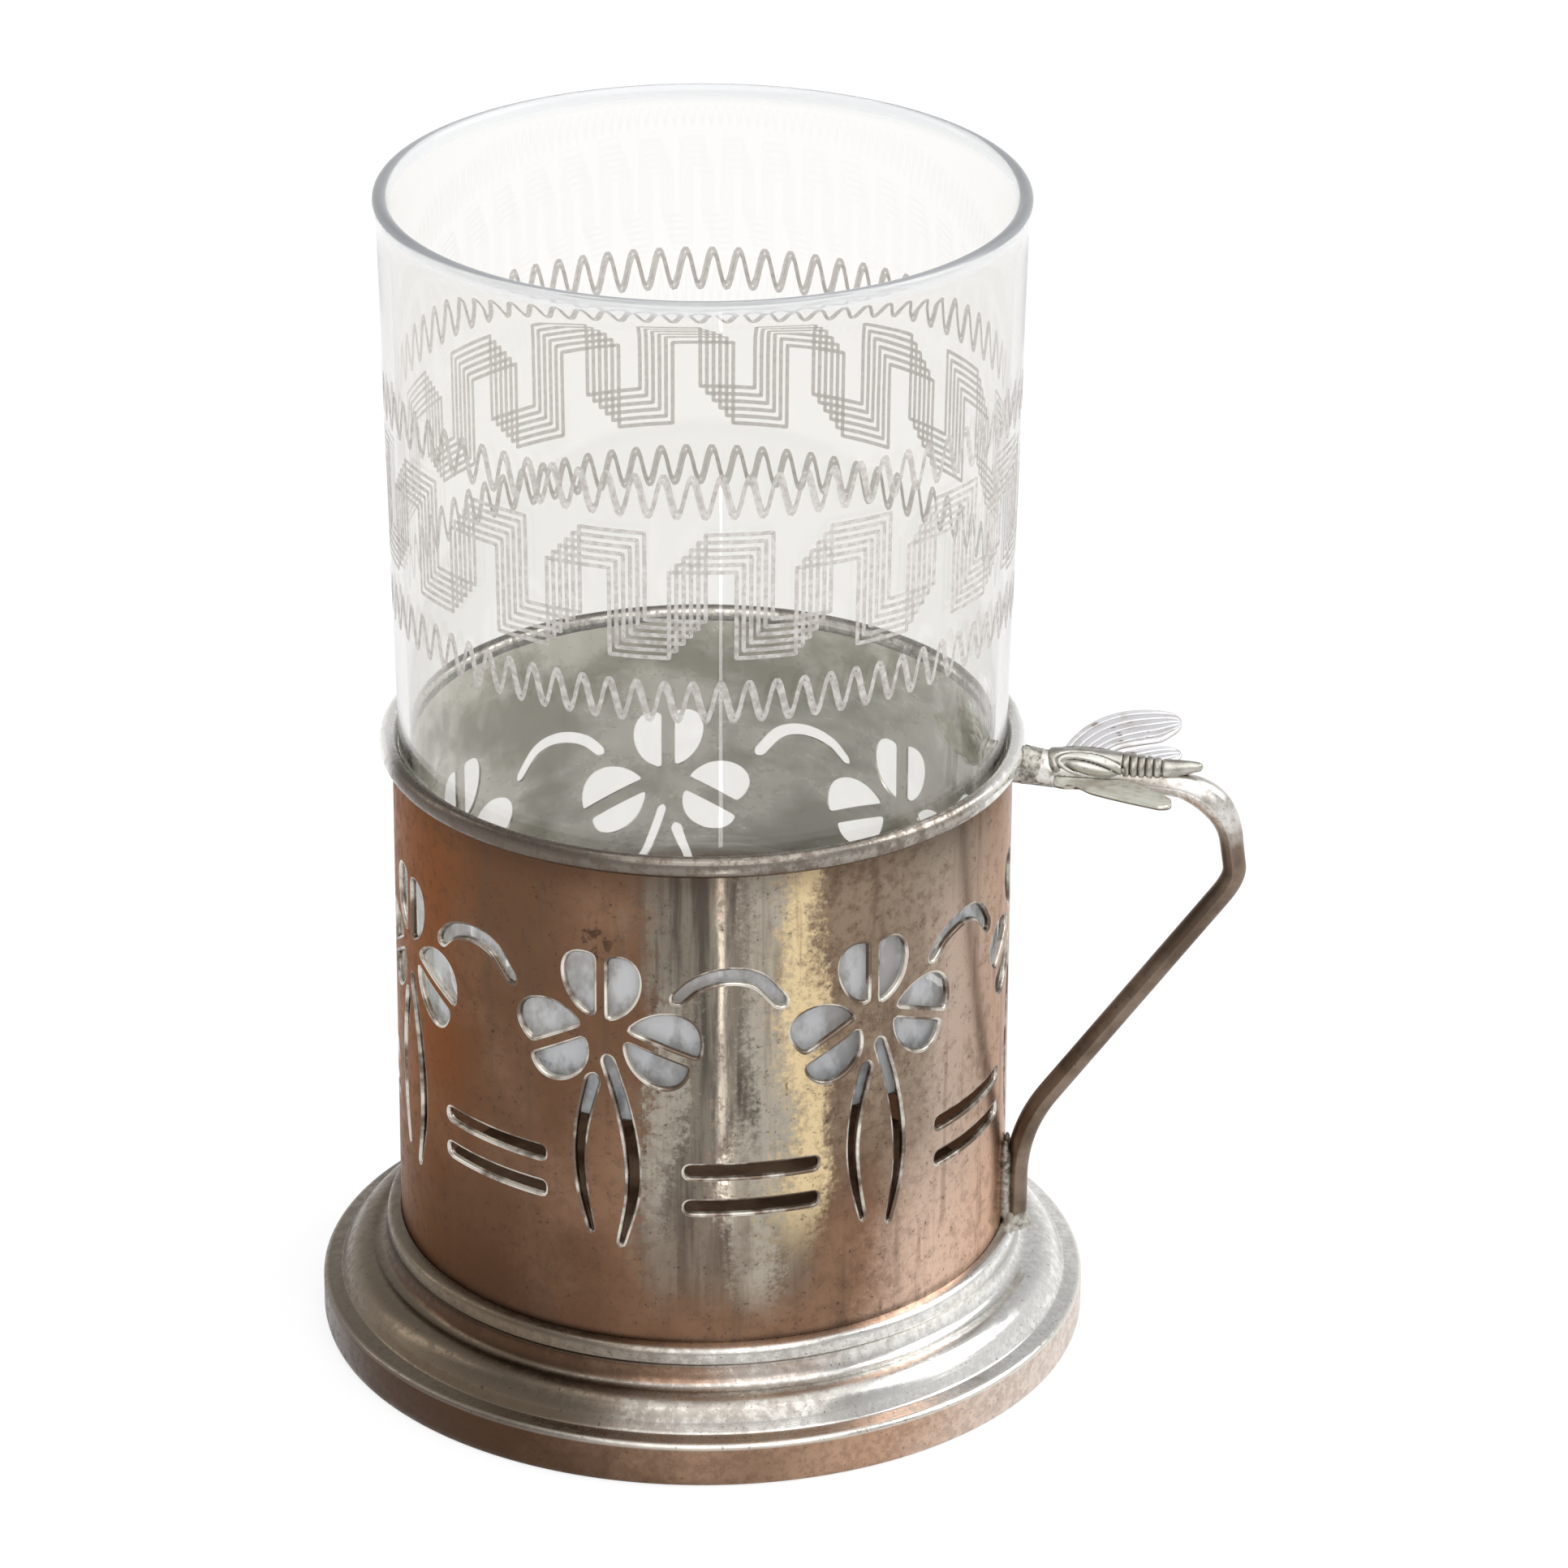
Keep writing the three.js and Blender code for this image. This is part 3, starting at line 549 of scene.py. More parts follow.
# Painted shade below the ring, mixed with a dark scab.
painted_shade_under_ring = z.between(0.0600, 0.0646)
joint = z.between(0.0130, 0.0122)
scab_and_painted_shade = sleeve_plate.mix(painted_shade_under_ring * 0.5 + scab * 0.75, stained, tone(62, 46, 36))
sleeve_plate.metal(
    sleeve_plate.mix(specks * 0.7 + joint * 0.3, scab_and_painted_shade, tone(66, 54, 50)),
    0.22 + 0.1 * stain + 0.1 * painted_shade_left + 0.1 * specks - 0.12 * rubbed_with_painted_light,
    0.03 * cloud + 0.004 * streak + 0.003 * pits,
    edge=tone(233, 210, 197),
)
cut_edge = finish_named("cut_edge")
spot = cut_edge.place()
# Rolled lips worn bright in patches; the bright patches are also painted highlights.
wear_and_painted_light = cut_edge.noise(spot, 190.0, 4.0, 0.6)
grain = cut_edge.noise(spot, 1500.0, 4.0)
cut_edge.metal(
    cut_edge.mix(wear_and_painted_light.between(0.42, 0.6), tone(104, 90, 78), tone(206, 200, 190)),
    0.2 + 0.2 * grain,
    0.01 * grain,
)
sleeve_back = finish_named("sleeve_inside")
spot = sleeve_back.place()
z = sleeve_back.axes(spot)[2]
cloud = sleeve_back.noise(sleeve_back.stretched(spot, 1.0, 1.0, 1.7), 75.0, 6.0, 0.62)
grain = sleeve_back.noise(spot, 1400.0, 4.0)
dusty = sleeve_back.mix(cloud.between(0.38, 0.60), tone(190, 188, 170), tone(252, 250, 239))
brown = sleeve_back.mix(z.between(0.0365, 0.0335), dusty, tone(176, 136, 108))
sleeve_back.metal(
    sleeve_back.mix(grain.between(0.6, 0.7) * 0.3, brown, tone(120, 116, 98)),
    0.14 + 0.25 * cloud,
    0.05 * cloud + 0.006 * grain,
    0.45,
)
sleeve_mesh = bpy.data.meshes.new("pierced_tube")
sleeve_mesh.from_pydata([p * MM for p in sleeve_points], [], sleeve_faces)
sleeve_mesh.shade_smooth()
sleeve_mesh.normals_split_custom_set_from_vertices(sleeve_normals)
sleeve_mesh.polygons.foreach_set("material_index", sleeve_finish)
pierced_sleeve = placed("pierced_tube", sleeve_mesh, sleeve_plate, sleeve_back, cut_edge)
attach(pierced_sleeve, "holder")
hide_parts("pierced_sleeve")

# Rim ring
# Half-round ring soldered on the sleeve's top edge, worn to silver on both sides and dull in front. Painted
# light leaves its left darker than its right, painted shade darkens its lower face, and it is black on its
# inner side in front, where the glass touches it.
RING_RADIUS = 32.075
RING_HEIGHT = 65.3
RING_HALF_WIDTH = 0.925
RING_HALF_HEIGHT = 1.1
rim_plate = finish_named("rim_plate")
spot = rim_plate.place()
x, y, z = rim_plate.axes(spot)
radius = (x * x + y * y) ** 0.5
cloud = rim_plate.noise(spot, 140.0, 5.0, 0.6)
blotch = rim_plate.noise(spot, 900.0, 5.0, 0.7)
pits = rim_plate.noise(spot, 3000.0, 3.0)
stain = (blotch + 0.25 * cloud).between(0.54, 0.74)
front_half = (FRONT_X * x + FRONT_Y * y).between(-0.012, 0.012)
inside = radius.between(0.03165, 0.03135)
# Black on the inner side of the front half, where the glass touches it.
black_inner_front = inside * front_half * (0.4 + cloud + 0.6 * blotch).between(0.8, 1.15)
# Painted shade on the ring's lower face.
painted_shade_underside = z.between(0.0652, 0.0643) * radius.between(0.0316, 0.0319)
# Painted light: the ring is darker on the left and lighter on the right.
painted_lit_right = (x * 25).between(-0.5, 1.2)
ends = (x * x).between(0.00080, 0.00100)
painted_side_light = rim_plate.mix(painted_lit_right, tone(98, 90, 82), tone(176, 170, 161))
pale = inside * (1 - front_half)
silver = rim_plate.mix(ends + pale, painted_side_light, tone(242, 241, 237))
stained = rim_plate.mix(stain * (0.7 - 0.6 * ends), silver, tone(96, 84, 74))
rim_plate.metal(
    rim_plate.mix(black_inner_front, rim_plate.mix(painted_shade_underside * 0.65, stained, tone(96, 78, 66)), tone(26, 24, 22)),
    0.2 + 0.2 * stain + 0.3 * black_inner_front,
    0.03 * cloud + 0.02 * blotch + 0.004 * pits,
)
rim_outline = []
for i in range(21):
    angle = math.radians(200 - 290 * i / 20)
    across = RING_RADIUS + RING_HALF_WIDTH * math.cos(angle)
    rim_outline.append((across, RING_HEIGHT + RING_HALF_HEIGHT * math.sin(angle)))
rim_outline += [(31.72, 64.22), (31.72, 65.0), (31.16, 65.0)]
rim_ring = made("rim_roll", *turned(rim_outline), rim_plate, 50)
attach(rim_ring, "holder")
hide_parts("rim_ring")

# Handle bar
# One bar, round where it is soldered under the ring and ridged along both sides below, bent to a shoulder, an
# elbow, a slanted run and a leg. Rubbed bright on the shoulder and brown below it, with painted shade where
# the shoulder runs under the wings, and darker on the underside of its top run.
BAR_START = Vector((31.9, 64.0))
BAR_TOP_END = Vector((48.9, 62.7))
BAR_SHOULDER = Vector((53.5, 61.7))
BAR_UPRIGHT = Vector((54.28, 57.1))
BAR_ELBOW = Vector((54.88, 52.8))
BAR_LANDING = Vector((33.05, 22.4))
BAR_END = Vector((33.05, 11.0))
BAR_FALL = 0.0763
BAR_ROUND = 1.9
SHOULDER_SWELLING = 0.42


def lofted(rings):
    """Points and faces of a closed form through rings of points."""
    count = len(rings[0])
    points = [p for ring in rings for p in ring]
    faces = [tuple(range(count))[::-1], tuple(range(len(points) - count, len(points)))]
    for i in range(len(rings) - 1):
        for j in range(count):
            k = (j + 1) % count
            faces.append((i * count + j, i * count + k, (i + 1) * count + k, (i + 1) * count + j))
    return points, faces


def swept(line, half, sides):
    """Closed bar along a line of radius and height in the handle's plane; half gives its half widths."""
    rings = []
    passed = 0.0
    for i, here in enumerate(line):
        run = (line[min(i + 1, len(line) - 1)] - line[max(i - 1, 0)]).normalized()
        passed += (here - line[max(i - 1, 0)]).length
        ring = []
        for k in range(sides):
            angle = math.tau * k / sides
            reach = half(angle, passed)
            up = reach * math.cos(angle)
            ring.append(Vector((here.x - run.y * up, reach * math.sin(angle), here.y + run.x * up)))
        rings.append(ring)
    return lofted(rings)


def thinned(line, spacing):
    """Open line at about even steps."""
    kept = [line[0]]
    for a, b in zip(line, line[1:]):
        steps = max(1, round((b - a).length / spacing))
        kept += [a.lerp(b, (i + 1) / steps) for i in range(steps)]
    return [p for i, p in enumerate(kept) if i == 0 or (p - kept[i - 1]).length > 1e-6]


slant = (BAR_LANDING - BAR_ELBOW).normalized()
over_elbow = BAR_ELBOW.lerp(BAR_UPRIGHT, 0.3)
bar_line = thinned(
    [BAR_START, BAR_TOP_END]
    + bent(BAR_TOP_END, BAR_SHOULDER, BAR_UPRIGHT, 24)
    + bent(over_elbow, BAR_ELBOW, BAR_ELBOW + slant * 2.6, 10)
    + bent(BAR_LANDING - slant * 5.6, BAR_LANDING, BAR_LANDING - Vector((0, 5.6)), 16)
    + [BAR_END],
    0.5,
)


def bar_half(angle, passed):
    """Half width of the bar: round at the sleeve, ridged beyond the insect."""
    flat, ridge = abs(math.cos(angle)), abs(math.sin(angle))
    ridged = ((flat / 1.2) ** 4 + ((ridge + 0.5 * flat) / 1.35) ** 4) ** (-1 / 4)
    share = min(max((passed - 3.6) / 13.6, 0.0), 1.0)
    share = share * share * (3 - 2 * share)
    swelling = SHOULDER_SWELLING * math.exp(-((passed - 20.6) / 3.2) ** 2)
    return BAR_ROUND + (ridged - BAR_ROUND) * share + swelling


handle_plate = finish_named("handle_plate")
spot = handle_plate.place()
x, _, z = handle_plate.axes(spot)
cloud = handle_plate.noise(spot, 130.0, 5.0, 0.6)
blotch = handle_plate.noise(spot, 800.0, 5.0, 0.65)
pits = handle_plate.noise(spot, 2800.0, 3.0)
# Painted shade: the rubbed silver is held back where the bar runs under the wings.
painted_shade_under_wings = x.between(0.0495, 0.0465) * x.between(0.040, 0.043)
rubbed_with_painted_light = (z + 0.006 * (cloud - 0.5)).between(0.0560, 0.0604) * (1 - 0.55 * painted_shade_under_wings)
crust = x.between(0.0395, 0.0345) * z.between(0.060, 0.0615)
# Darker on the underside of the top run.
below_top = (z + BAR_FALL * (x - 0.0319)).between(0.0632, 0.0620)
underside = below_top * x.between(0.0505, 0.0485) * z.between(0.058, 0.060)
brown = handle_plate.mix(cloud.between(0.35, 0.65), tone(96, 82, 70), tone(134, 118, 104))
silver = handle_plate.mix(blotch.between(0.46, 0.66) * 0.6, tone(220, 217, 212), tone(138, 127, 115))
wear_and_painted_light = handle_plate.mix(rubbed_with_painted_light, brown, silver)
crusted_and_dark_below = handle_plate.mix(underside * 0.75 + crust * blotch.between(0.47, 0.62) * 0.5, wear_and_painted_light, tone(60, 52, 44))
handle_plate.metal(
    handle_plate.mix(pits.between(0.62, 0.7) * 0.45, crusted_and_dark_below, tone(66, 54, 46)),
    0.32 + 0.16 * blotch - 0.12 * rubbed_with_painted_light + 0.2 * crust,
    0.02 * cloud + (0.02 + 0.1 * crust) * blotch + 0.01 * pits,
)
handle_bar = made("bent_bar", *swept(bar_line, bar_half, 48), handle_plate, 60)
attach(handle_bar, "holder")
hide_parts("handle_bar")

# Solder at the handle
# Crusty soft solder round the bar's end under the ring, in a fillet on both sides of the leg, and as a grey
# lump where the leg stands on the collar of the foot.
solder = finish_named("grey_solder")
spot = solder.place()
cloud = solder.noise(spot, 300.0, 5.0, 0.6)
grain = solder.noise(spot, 1800.0, 5.0, 0.65)
solder.metal(
    solder.mix((0.5 * cloud + 0.6 * grain).between(0.45, 0.7), tone(190, 187, 178), tone(92, 84, 74)),
    0.4 + 0.3 * grain,
    0.08 * grain + 0.05 * cloud,
)


def crusted(line, half, roughness, sides=24):
    """Swept lump of solder with an uneven skin."""
    points, faces = swept(line, half, sides)
    lumpy = []
    for p in points:
        push = noise.noise(Vector(p) * 1.3) * 0.7 + noise.noise(Vector(p) * 3.1) * 0.3
        lumpy.append(Vector(p) * (1 + roughness * push / Vector(p).length))
    return lumpy, faces


stub_line = [Vector((32.9 + 0.2 * i, 63.98 - 0.0153 * i)) for i in range(10)]
leg_line = [Vector((33.02 - 0.012 * i, 11.3 + 0.2 * i)) for i in range(10)]
lumps = [
    crusted(stub_line, lambda angle, passed: 2.04 - 0.08 * passed, 0.22),
    crusted(leg_line, lambda angle, passed: 1.75 - 0.28 * passed, 0.35),
]


def fillet_half(angle, passed):
    """Half width of a fillet beside the leg, thinner towards its ends."""
    return 0.62 * min(1.0, 0.25 + passed, 0.25 + 0.5 * (9.0 - passed))


fillet = [Vector((31.95, 12.3 + 0.3 * i)) for i in range(31)]
for side in (-1, 1):
    points, faces = crusted(fillet, fillet_half, 0.16, 16)
    lumps.append(([p + Vector((0, side * 1.05, 0)) for p in points], faces))
solder_points = []
solder_faces = []
for points, faces in lumps:
    start = len(solder_points)
    solder_points += points
    solder_faces += [tuple(start + i for i in face) for face in faces]
handle_solder = made("handle_solder", solder_points, solder_faces, solder, 70)
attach(handle_solder, "holder")

# Insect's body
# Cast thumb rest that lies along the bar: two lumps at the shoulder, an oval shield on each side of the
# thorax, a ringed abdomen and a pointed tail that lifts off the bar. Dark tarnish stays in its grooves, and
# painted shade darkens its underside.
BODY_START = 35.4
BODY_AXIS = 64.4
THORAX = 7.6
ABDOMEN = 4.0
TAIL = 4.2
TAIL_LIFT = 0.4
BODY_RINGS = 5
BODY_STEPS = 190
BODY_SIDES = 96


def eased(share):
    """Share from 0 to 1 with soft ends."""
    share = min(max(share, 0.0), 1.0)
    return share * share * (3 - 2 * share)


def body_half(s, angle):
    """Half width of the body at a distance from its front and an angle from its top."""
    if s < THORAX:
        t = s / THORAX
        half = 1.55 * (1 - t) ** 2 + 3.9 * t * (1 - t) + 1.5 * t * t
    elif s < THORAX + ABDOMEN:
        t = (s - THORAX) / ABDOMEN
        crest = abs(math.sin(math.pi * t * BODY_RINGS))
        half = 1.48 - 0.34 * t - 0.26 * (1 - crest) ** 2
    else:
        t = min(1.0, (s - THORAX - ABDOMEN) / TAIL)
        half = (0.42 + 0.66 * (1 - t ** 1.4)) * math.sqrt(1 - max(0.0, t - 0.9) ** 2 / 0.0101)
        half -= 0.2 * math.exp(-(t / 0.04) ** 2)
    half *= eased(0.35 + s / 0.5) * 0.25 + 0.75
    side = abs(angle)
    cover = math.hypot((s - 4.4) / 3.3, (side - 1.25 - 0.08 * (s - 4.4)) / 0.85)
    shield = math.hypot((s - 4.5) / 2.75, (side - 1.47 - 0.14 * (s - 4.5)) / 0.46)
    half += 0.12 * eased((1.04 - cover) / 0.1)
    half -= 0.14 * math.exp(-((cover - 1.06) / 0.05) ** 2)
    half -= 0.24 * math.exp(-((shield - 1.0) / 0.13) ** 2)
    half += 0.24 * max(0.0, 1 - shield * shield / 0.72)
    half += 0.3 * math.exp(-((s - 0.9) / 0.5) ** 2 - ((side - 1.5) / 0.5) ** 2)
    return half


body_rings = []
for i in range(BODY_STEPS + 1):
    s = i / BODY_STEPS * (THORAX + ABDOMEN + TAIL)
    axis = BODY_AXIS + TAIL_LIFT * eased((s - THORAX - ABDOMEN) / TAIL)
    ring = []
    for k in range(BODY_SIDES):
        angle = math.tau * k / BODY_SIDES
        half = body_half(s, angle if angle <= math.pi else angle - math.tau)
        ring.append(Vector((BODY_START + s, half * math.sin(angle), axis + half * math.cos(angle) * 0.96)))
    body_rings.append(ring)
insect_plate = finish_named("insect_plate")
spot = insect_plate.place()
z = insect_plate.axes(spot)[2]
cloud = insect_plate.noise(spot, 260.0, 5.0, 0.6)
grain = insect_plate.noise(spot, 1700.0, 5.0, 0.65)
hollow = insect_plate.node("ShaderNodeNewGeometry", {}, {}, "Pointiness")
grooves = hollow.between(0.495, 0.44)
# Painted shade on the body's underside.
painted_shade_underside = z.between(0.0640, 0.0631)
silver = insect_plate.mix(cloud.between(0.4, 0.65), tone(188, 186, 178), tone(138, 132, 122))
# Tarnish in the grooves, painted shade on the underside, and grain.
dirt = grooves * 0.9 + painted_shade_underside * 0.75 + 0.4 * grain.between(0.56, 0.68)
insect_plate.metal(
    insect_plate.mix(dirt, silver, tone(58, 52, 46)),
    0.26 + 0.2 * cloud + 0.25 * grooves,
    0.02 * cloud + 0.025 * grain,
)
insect_body = made("insect_casting", *lofted(body_rings), insect_plate, 75)
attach(insect_body, "holder")
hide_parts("insect_body")

# Wings
# Thin cast plates at the body's lower edge, with fine engraved veins that fan out from the root. The far
# plate has a front and a hind wing. The near one is a single leaf with a lobe at its root, worn smooth.
WING_RISE = math.tan(math.radians(10.7))
WING_ROOT = 2.05
WING_HEIGHT = 63.5
WING_STEPS = 64
WING_SKIN = 0.26
WING_EDGE = 0.3
VEIN_WIDTH = 0.13
# Front and back edge of each wing, along the bar and out from it.
FRONT_WING = (
    [(36.3, 2.0), (36.8, 5.1), (37.9, 7.6), (39.4, 9.65), (41.5, 11.2)]
    + [(44.0, 11.95), (46.5, 11.9), (47.8, 11.2), (48.3, 10.1)],
    [(40.6, 2.0), (41.3, 3.9), (42.5, 5.1), (43.9, 5.75), (45.3, 6.25)]
    + [(46.5, 6.75), (47.5, 7.9), (48.1, 8.9), (48.3, 10.1)],
)
HIND_WING = (
    [(40.6, 2.0), (42.3, 4.3), (44.0, 5.3), (45.6, 5.95), (47.0, 6.15), (48.1, 5.75), (48.75, 5.0)],
    [(45.0, 2.0), (45.7, 2.3), (46.5, 2.65), (47.3, 3.1), (48.0, 3.6), (48.55, 4.2), (48.75, 5.0)],
)
NEAR_WING = (
    [(36.2, 2.0), (36.4, 4.6), (37.3, 5.3), (38.7, 5.0), (40.3, 7.1)]
    + [(43.3, 9.4), (46.7, 11.5), (47.7, 11.95), (48.5, 11.5), (48.8, 10.4)],
    [(44.0, 2.0), (44.4, 2.7), (45.0, 3.3), (45.6, 3.9), (46.2, 4.7)]
    + [(46.8, 5.5), (47.5, 6.5), (48.1, 7.5), (48.6, 8.6), (48.8, 10.4)],
)


def wing_plate(edges, veins, depth, drop):
    """Upper and lower skin of one wing between its two edges, with a rim and veins engraved to a depth."""
    front, back = [smooth_line([Vector(p) for p in edge], 8) for edge in edges]
    across = WING_STEPS
    points = []
    faces = []
    for a, b in zip(front, back):
        width = (b - a).length
        for face in (1, -1):
            for j in range(across + 1):
                v = j / across
                edge = min(v, 1 - v) * width
                skin = WING_SKIN * math.sqrt(min(1.0, edge / WING_EDGE)) if width > 0.01 else 0.0
                if face > 0:
                    cuts = [depth * math.exp(-((v - vein) * width / VEIN_WIDTH) ** 2) for vein in veins]
                    skin += 0.05 * math.exp(-((edge - WING_EDGE) / 0.16) ** 2) * min(1.0, width)
                    skin -= sum(cuts) * min(1.0, width / 2)
                here = a.lerp(b, v)
                middle = WING_HEIGHT - drop + WING_RISE * (here.y - WING_ROOT)
                points.append((here.x, here.y, middle + face * skin))
    row = 2 * (across + 1)
    for i in range(len(front) - 1):
        for j in range(across):
            for start, flip in ((0, False), (across + 1, True)):
                k = i * row + start + j
                face = (k, k + 1, k + 1 + row, k + row)
                faces.append(face[::-1] if flip else face)
        for j in (0, across):
            k = i * row + j
            faces.append((k, k + row, k + row + across + 1, k + across + 1))
    faces += [(j, j + 1, j + across + 2, j + across + 1) for j in range(across)]
    return points, faces


wing_metal = finish_named("wing_plate")
spot = wing_metal.place()
cloud = wing_metal.noise(spot, 330.0, 5.0, 0.6)
grain = wing_metal.noise(spot, 1500.0, 5.0, 0.65)
surface = wing_metal.node("ShaderNodeNewGeometry", {}, {})
hollow = Value(wing_metal, surface.socket.node.outputs["Pointiness"])
up = wing_metal.axes(Value(wing_metal, surface.socket.node.outputs["Normal"]))[2]
y = wing_metal.axes(spot)[1]
near_side = y.between(0.001, -0.001)
grooves = hollow.between(0.49, 0.45)
edges = hollow.between(0.54, 0.62)
# Painted shade on faces that look down.
painted_shade_on_undersides = up.between(0.15, -0.25)
far_tone = wing_metal.mix(cloud.between(0.45, 0.7), tone(216, 215, 217), tone(186, 182, 176))
near_tone = wing_metal.mix(cloud.between(0.4, 0.65), tone(200, 199, 187), tone(158, 150, 136))
bright = wing_metal.mix(near_side, far_tone, near_tone)
dirt = grooves * 0.75 + edges * 0.8 + 0.2 * grain.between(0.6, 0.7)
veined = wing_metal.mix(dirt, bright, tone(126, 112, 104))
wing_metal.metal(
    wing_metal.mix(painted_shade_on_undersides * 0.85, veined, tone(96, 76, 62)),
    0.24 + 0.2 * cloud,
    0.02 * cloud + 0.015 * grain,
    0.6,
)
far_front = wing_plate(FRONT_WING, (0.16, 0.34, 0.52, 0.70, 0.86), 0.09, 0.0)
far_hind = wing_plate(HIND_WING, (0.3, 0.55, 0.78), 0.09, 0.25)
near_leaf = wing_plate(NEAR_WING, (0.25, 0.5, 0.72), 0.03, 0.0)
for name, node, side, plates in (
    ("near_wing_plate", "near_wings", -1, [near_leaf]),
    ("far_wing_plates", "far_wings", 1, [far_front, far_hind]),
):
    points = []
    faces = []
    for plate_points, plate_faces in plates:
        faces += [tuple(len(points) + i for i in face) for face in plate_faces]
        points += [(p[0], side * p[1], p[2]) for p in plate_points]
    wing = made(name, points, faces, wing_metal, 55)
    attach(wing, "holder")
    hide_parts(node)

# Glass tumbler
# Thin blown tumbler, tapered so that it hangs in the sleeve's mouth, with a fire-polished lip and a thick
# base that is hollow below. Lime has left a pale film low on its front, and thick glass looks a little grey.
GLASS_LOW = 35.1
GLASS_TOP = 124.3
GLASS_WALL = 1.2
GLASS_BASE = 4.0
GLASS_LIP = 0.28
LIP_HALF = 0.74
GLASS_SLOPE = math.tan(math.radians(1.29))
MOUTH_RADIUS = 31.05
MOUTH_HEIGHT = 65.3


def glass_outside(height):
    """Outer radius of the tapered wall."""
    return MOUTH_RADIUS + GLASS_SLOPE * (height - MOUTH_HEIGHT)


lip_outside = glass_outside(GLASS_TOP) + GLASS_LIP
lip_middle = lip_outside - LIP_HALF
lip_height = GLASS_TOP - LIP_HALF
lip_arc = [math.pi * i / 14 for i in range(15)]
well = GLASS_LOW + GLASS_BASE
well_edge = glass_outside(39.3) - GLASS_WALL
glass_outline = (
    [Vector((0, GLASS_LOW + 0.8)), Vector((14, GLASS_LOW + 0.6))]
    + bent((24.0, GLASS_LOW + 0.15), (25.4, GLASS_LOW), (26.4, GLASS_LOW), 4)
    + bent((27.6, GLASS_LOW), (glass_outside(GLASS_LOW), GLASS_LOW), (glass_outside(37.5), 37.5), 10)
    + [Vector((glass_outside(h), h)) for h in (50.0, 65.3, 85.0, 105.0, 119.0)]
    + bent((glass_outside(120.8), 120.8), (glass_outside(122.4), 122.4), (lip_outside, lip_height), 5)
    + [Vector((lip_middle + LIP_HALF * math.cos(a), lip_height + LIP_HALF * math.sin(a))) for a in lip_arc]
    + [Vector((glass_outside(h) - GLASS_WALL, h)) for h in (121.5, 105.0, 85.0, 65.3, 50.0)]
    + bent((glass_outside(43.0) - GLASS_WALL, 43.0), (well_edge, well), (26.0, well), 10)
    + [Vector((13, well - 0.1)), Vector((0, well - 0.15))]
)
glass_finish = finish_named("clear_tumbler")
spot = glass_finish.place()
ripple = glass_finish.noise(spot, 45.0, 2.0)
normal = glass_finish.node("ShaderNodeBump", {}, {"Distance": MM, "Height": 0.03 * ripple})
shader = glass_finish.node(
    "ShaderNodeBsdfPrincipled",
    {},
    {
        "Base Color": (0.945, 0.94, 0.925, 1.0),
        "Roughness": 0.015,
        "IOR": 1.48,
        "Transmission Weight": 1.0,
        "Normal": normal,
    },
)
x, y, z = glass_finish.axes(spot)
haze = glass_finish.noise(glass_finish.stretched(spot, 1.0, 1.0, 0.6), 300.0, 4.0, 0.62)
outside = ((x * x + y * y) ** 0.5 - 0.0225 * z).between(0.0291, 0.0293)
front_half = (FRONT_X * x + FRONT_Y * y).between(-0.012, 0.012)
lime = 0.30 + 0.32 * haze.between(0.38, 0.58)
deposits = z.between(0.0620, 0.0550) * outside * (0.12 + 0.88 * front_half) * lime
# Painted highlight: a pale film on the lip stands in for its bright rim.
painted_white_lip = z.between(0.1222, 0.1234) * 0.31
film = deposits + painted_white_lip
scale = glass_finish.node("ShaderNodeBsdfTranslucent", {}, {"Color": tone(232, 237, 243)})
matt = glass_finish.node("ShaderNodeBsdfDiffuse", {}, {"Color": tone(232, 235, 239)})
deposit = glass_finish.node("ShaderNodeMixShader", {}, {0: 0.3, 1: matt, 2: scale})
surface = glass_finish.node("ShaderNodeMixShader", {}, {0: film, 1: shader, 2: deposit})
tint = {"Color": tone(198, 193, 187), "Density": 105.0}
depth = glass_finish.node("ShaderNodeVolumeAbsorption", {}, tint)
glass_finish.node("ShaderNodeOutputMaterial", {}, {"Surface": surface, "Volume": depth})
glass_tumbler = made("blown_tumbler", *turned(glass_outline, 192), glass_finish, 60)
glass_tumbler.visible_shadow = False
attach(glass_tumbler, "glass")
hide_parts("glass_tumbler")

# Etched bands
# Fine frosted lines drawn by needles on a turning glass: a wavy double line above and below, and between them
# six needles that draw the same square wave side by side.
ETCH_WIDTH = 0.42
ETCH_LOW, ETCH_HIGH = 0.004, 0.016
WAVES = 72
KEYS = 16
KEY_RISE = 9.1
KEY_TOP = 100.4
KEY_SHARE = 0.525
NEEDLES = 6
NEEDLE_STEP = Vector((-0.71, -0.79))
KEY_TURN = math.radians(8.5)
BAND_MIDDLE = 94.0


def etched(name, lines, finish):
    """Thin closed ribbons on the glass along closed lines of angle and height."""
    points = []
    faces = []
    for line in lines:
        start = len(points)
        count = len(line)
        for i, (turn, height) in enumerate(line):
            before, after = line[i - 1], line[(i + 1) % count]
            sweep = (after[0] - before[0] + math.pi) % math.tau - math.pi
            run = Vector((sweep * glass_outside(height), after[1] - before[1])).normalized()
            for side, lift in ((1, ETCH_HIGH), (-1, ETCH_HIGH), (-1, ETCH_LOW), (1, ETCH_LOW)):
                up = height + side * run.x * ETCH_WIDTH / 2
                angle = turn - side * run.y * ETCH_WIDTH / 2 / glass_outside(height)
                reach = glass_outside(up) + lift
                points.append((reach * math.cos(angle), reach * math.sin(angle), up))
        for i in range(count):
            this, other = start + 4 * i, start + 4 * ((i + 1) % count)
            for k in range(4):
                n = (k + 1) % 4
                faces.append((this + k, other + k, other + n, this + n))
    return made(name, points, faces, finish, 50)


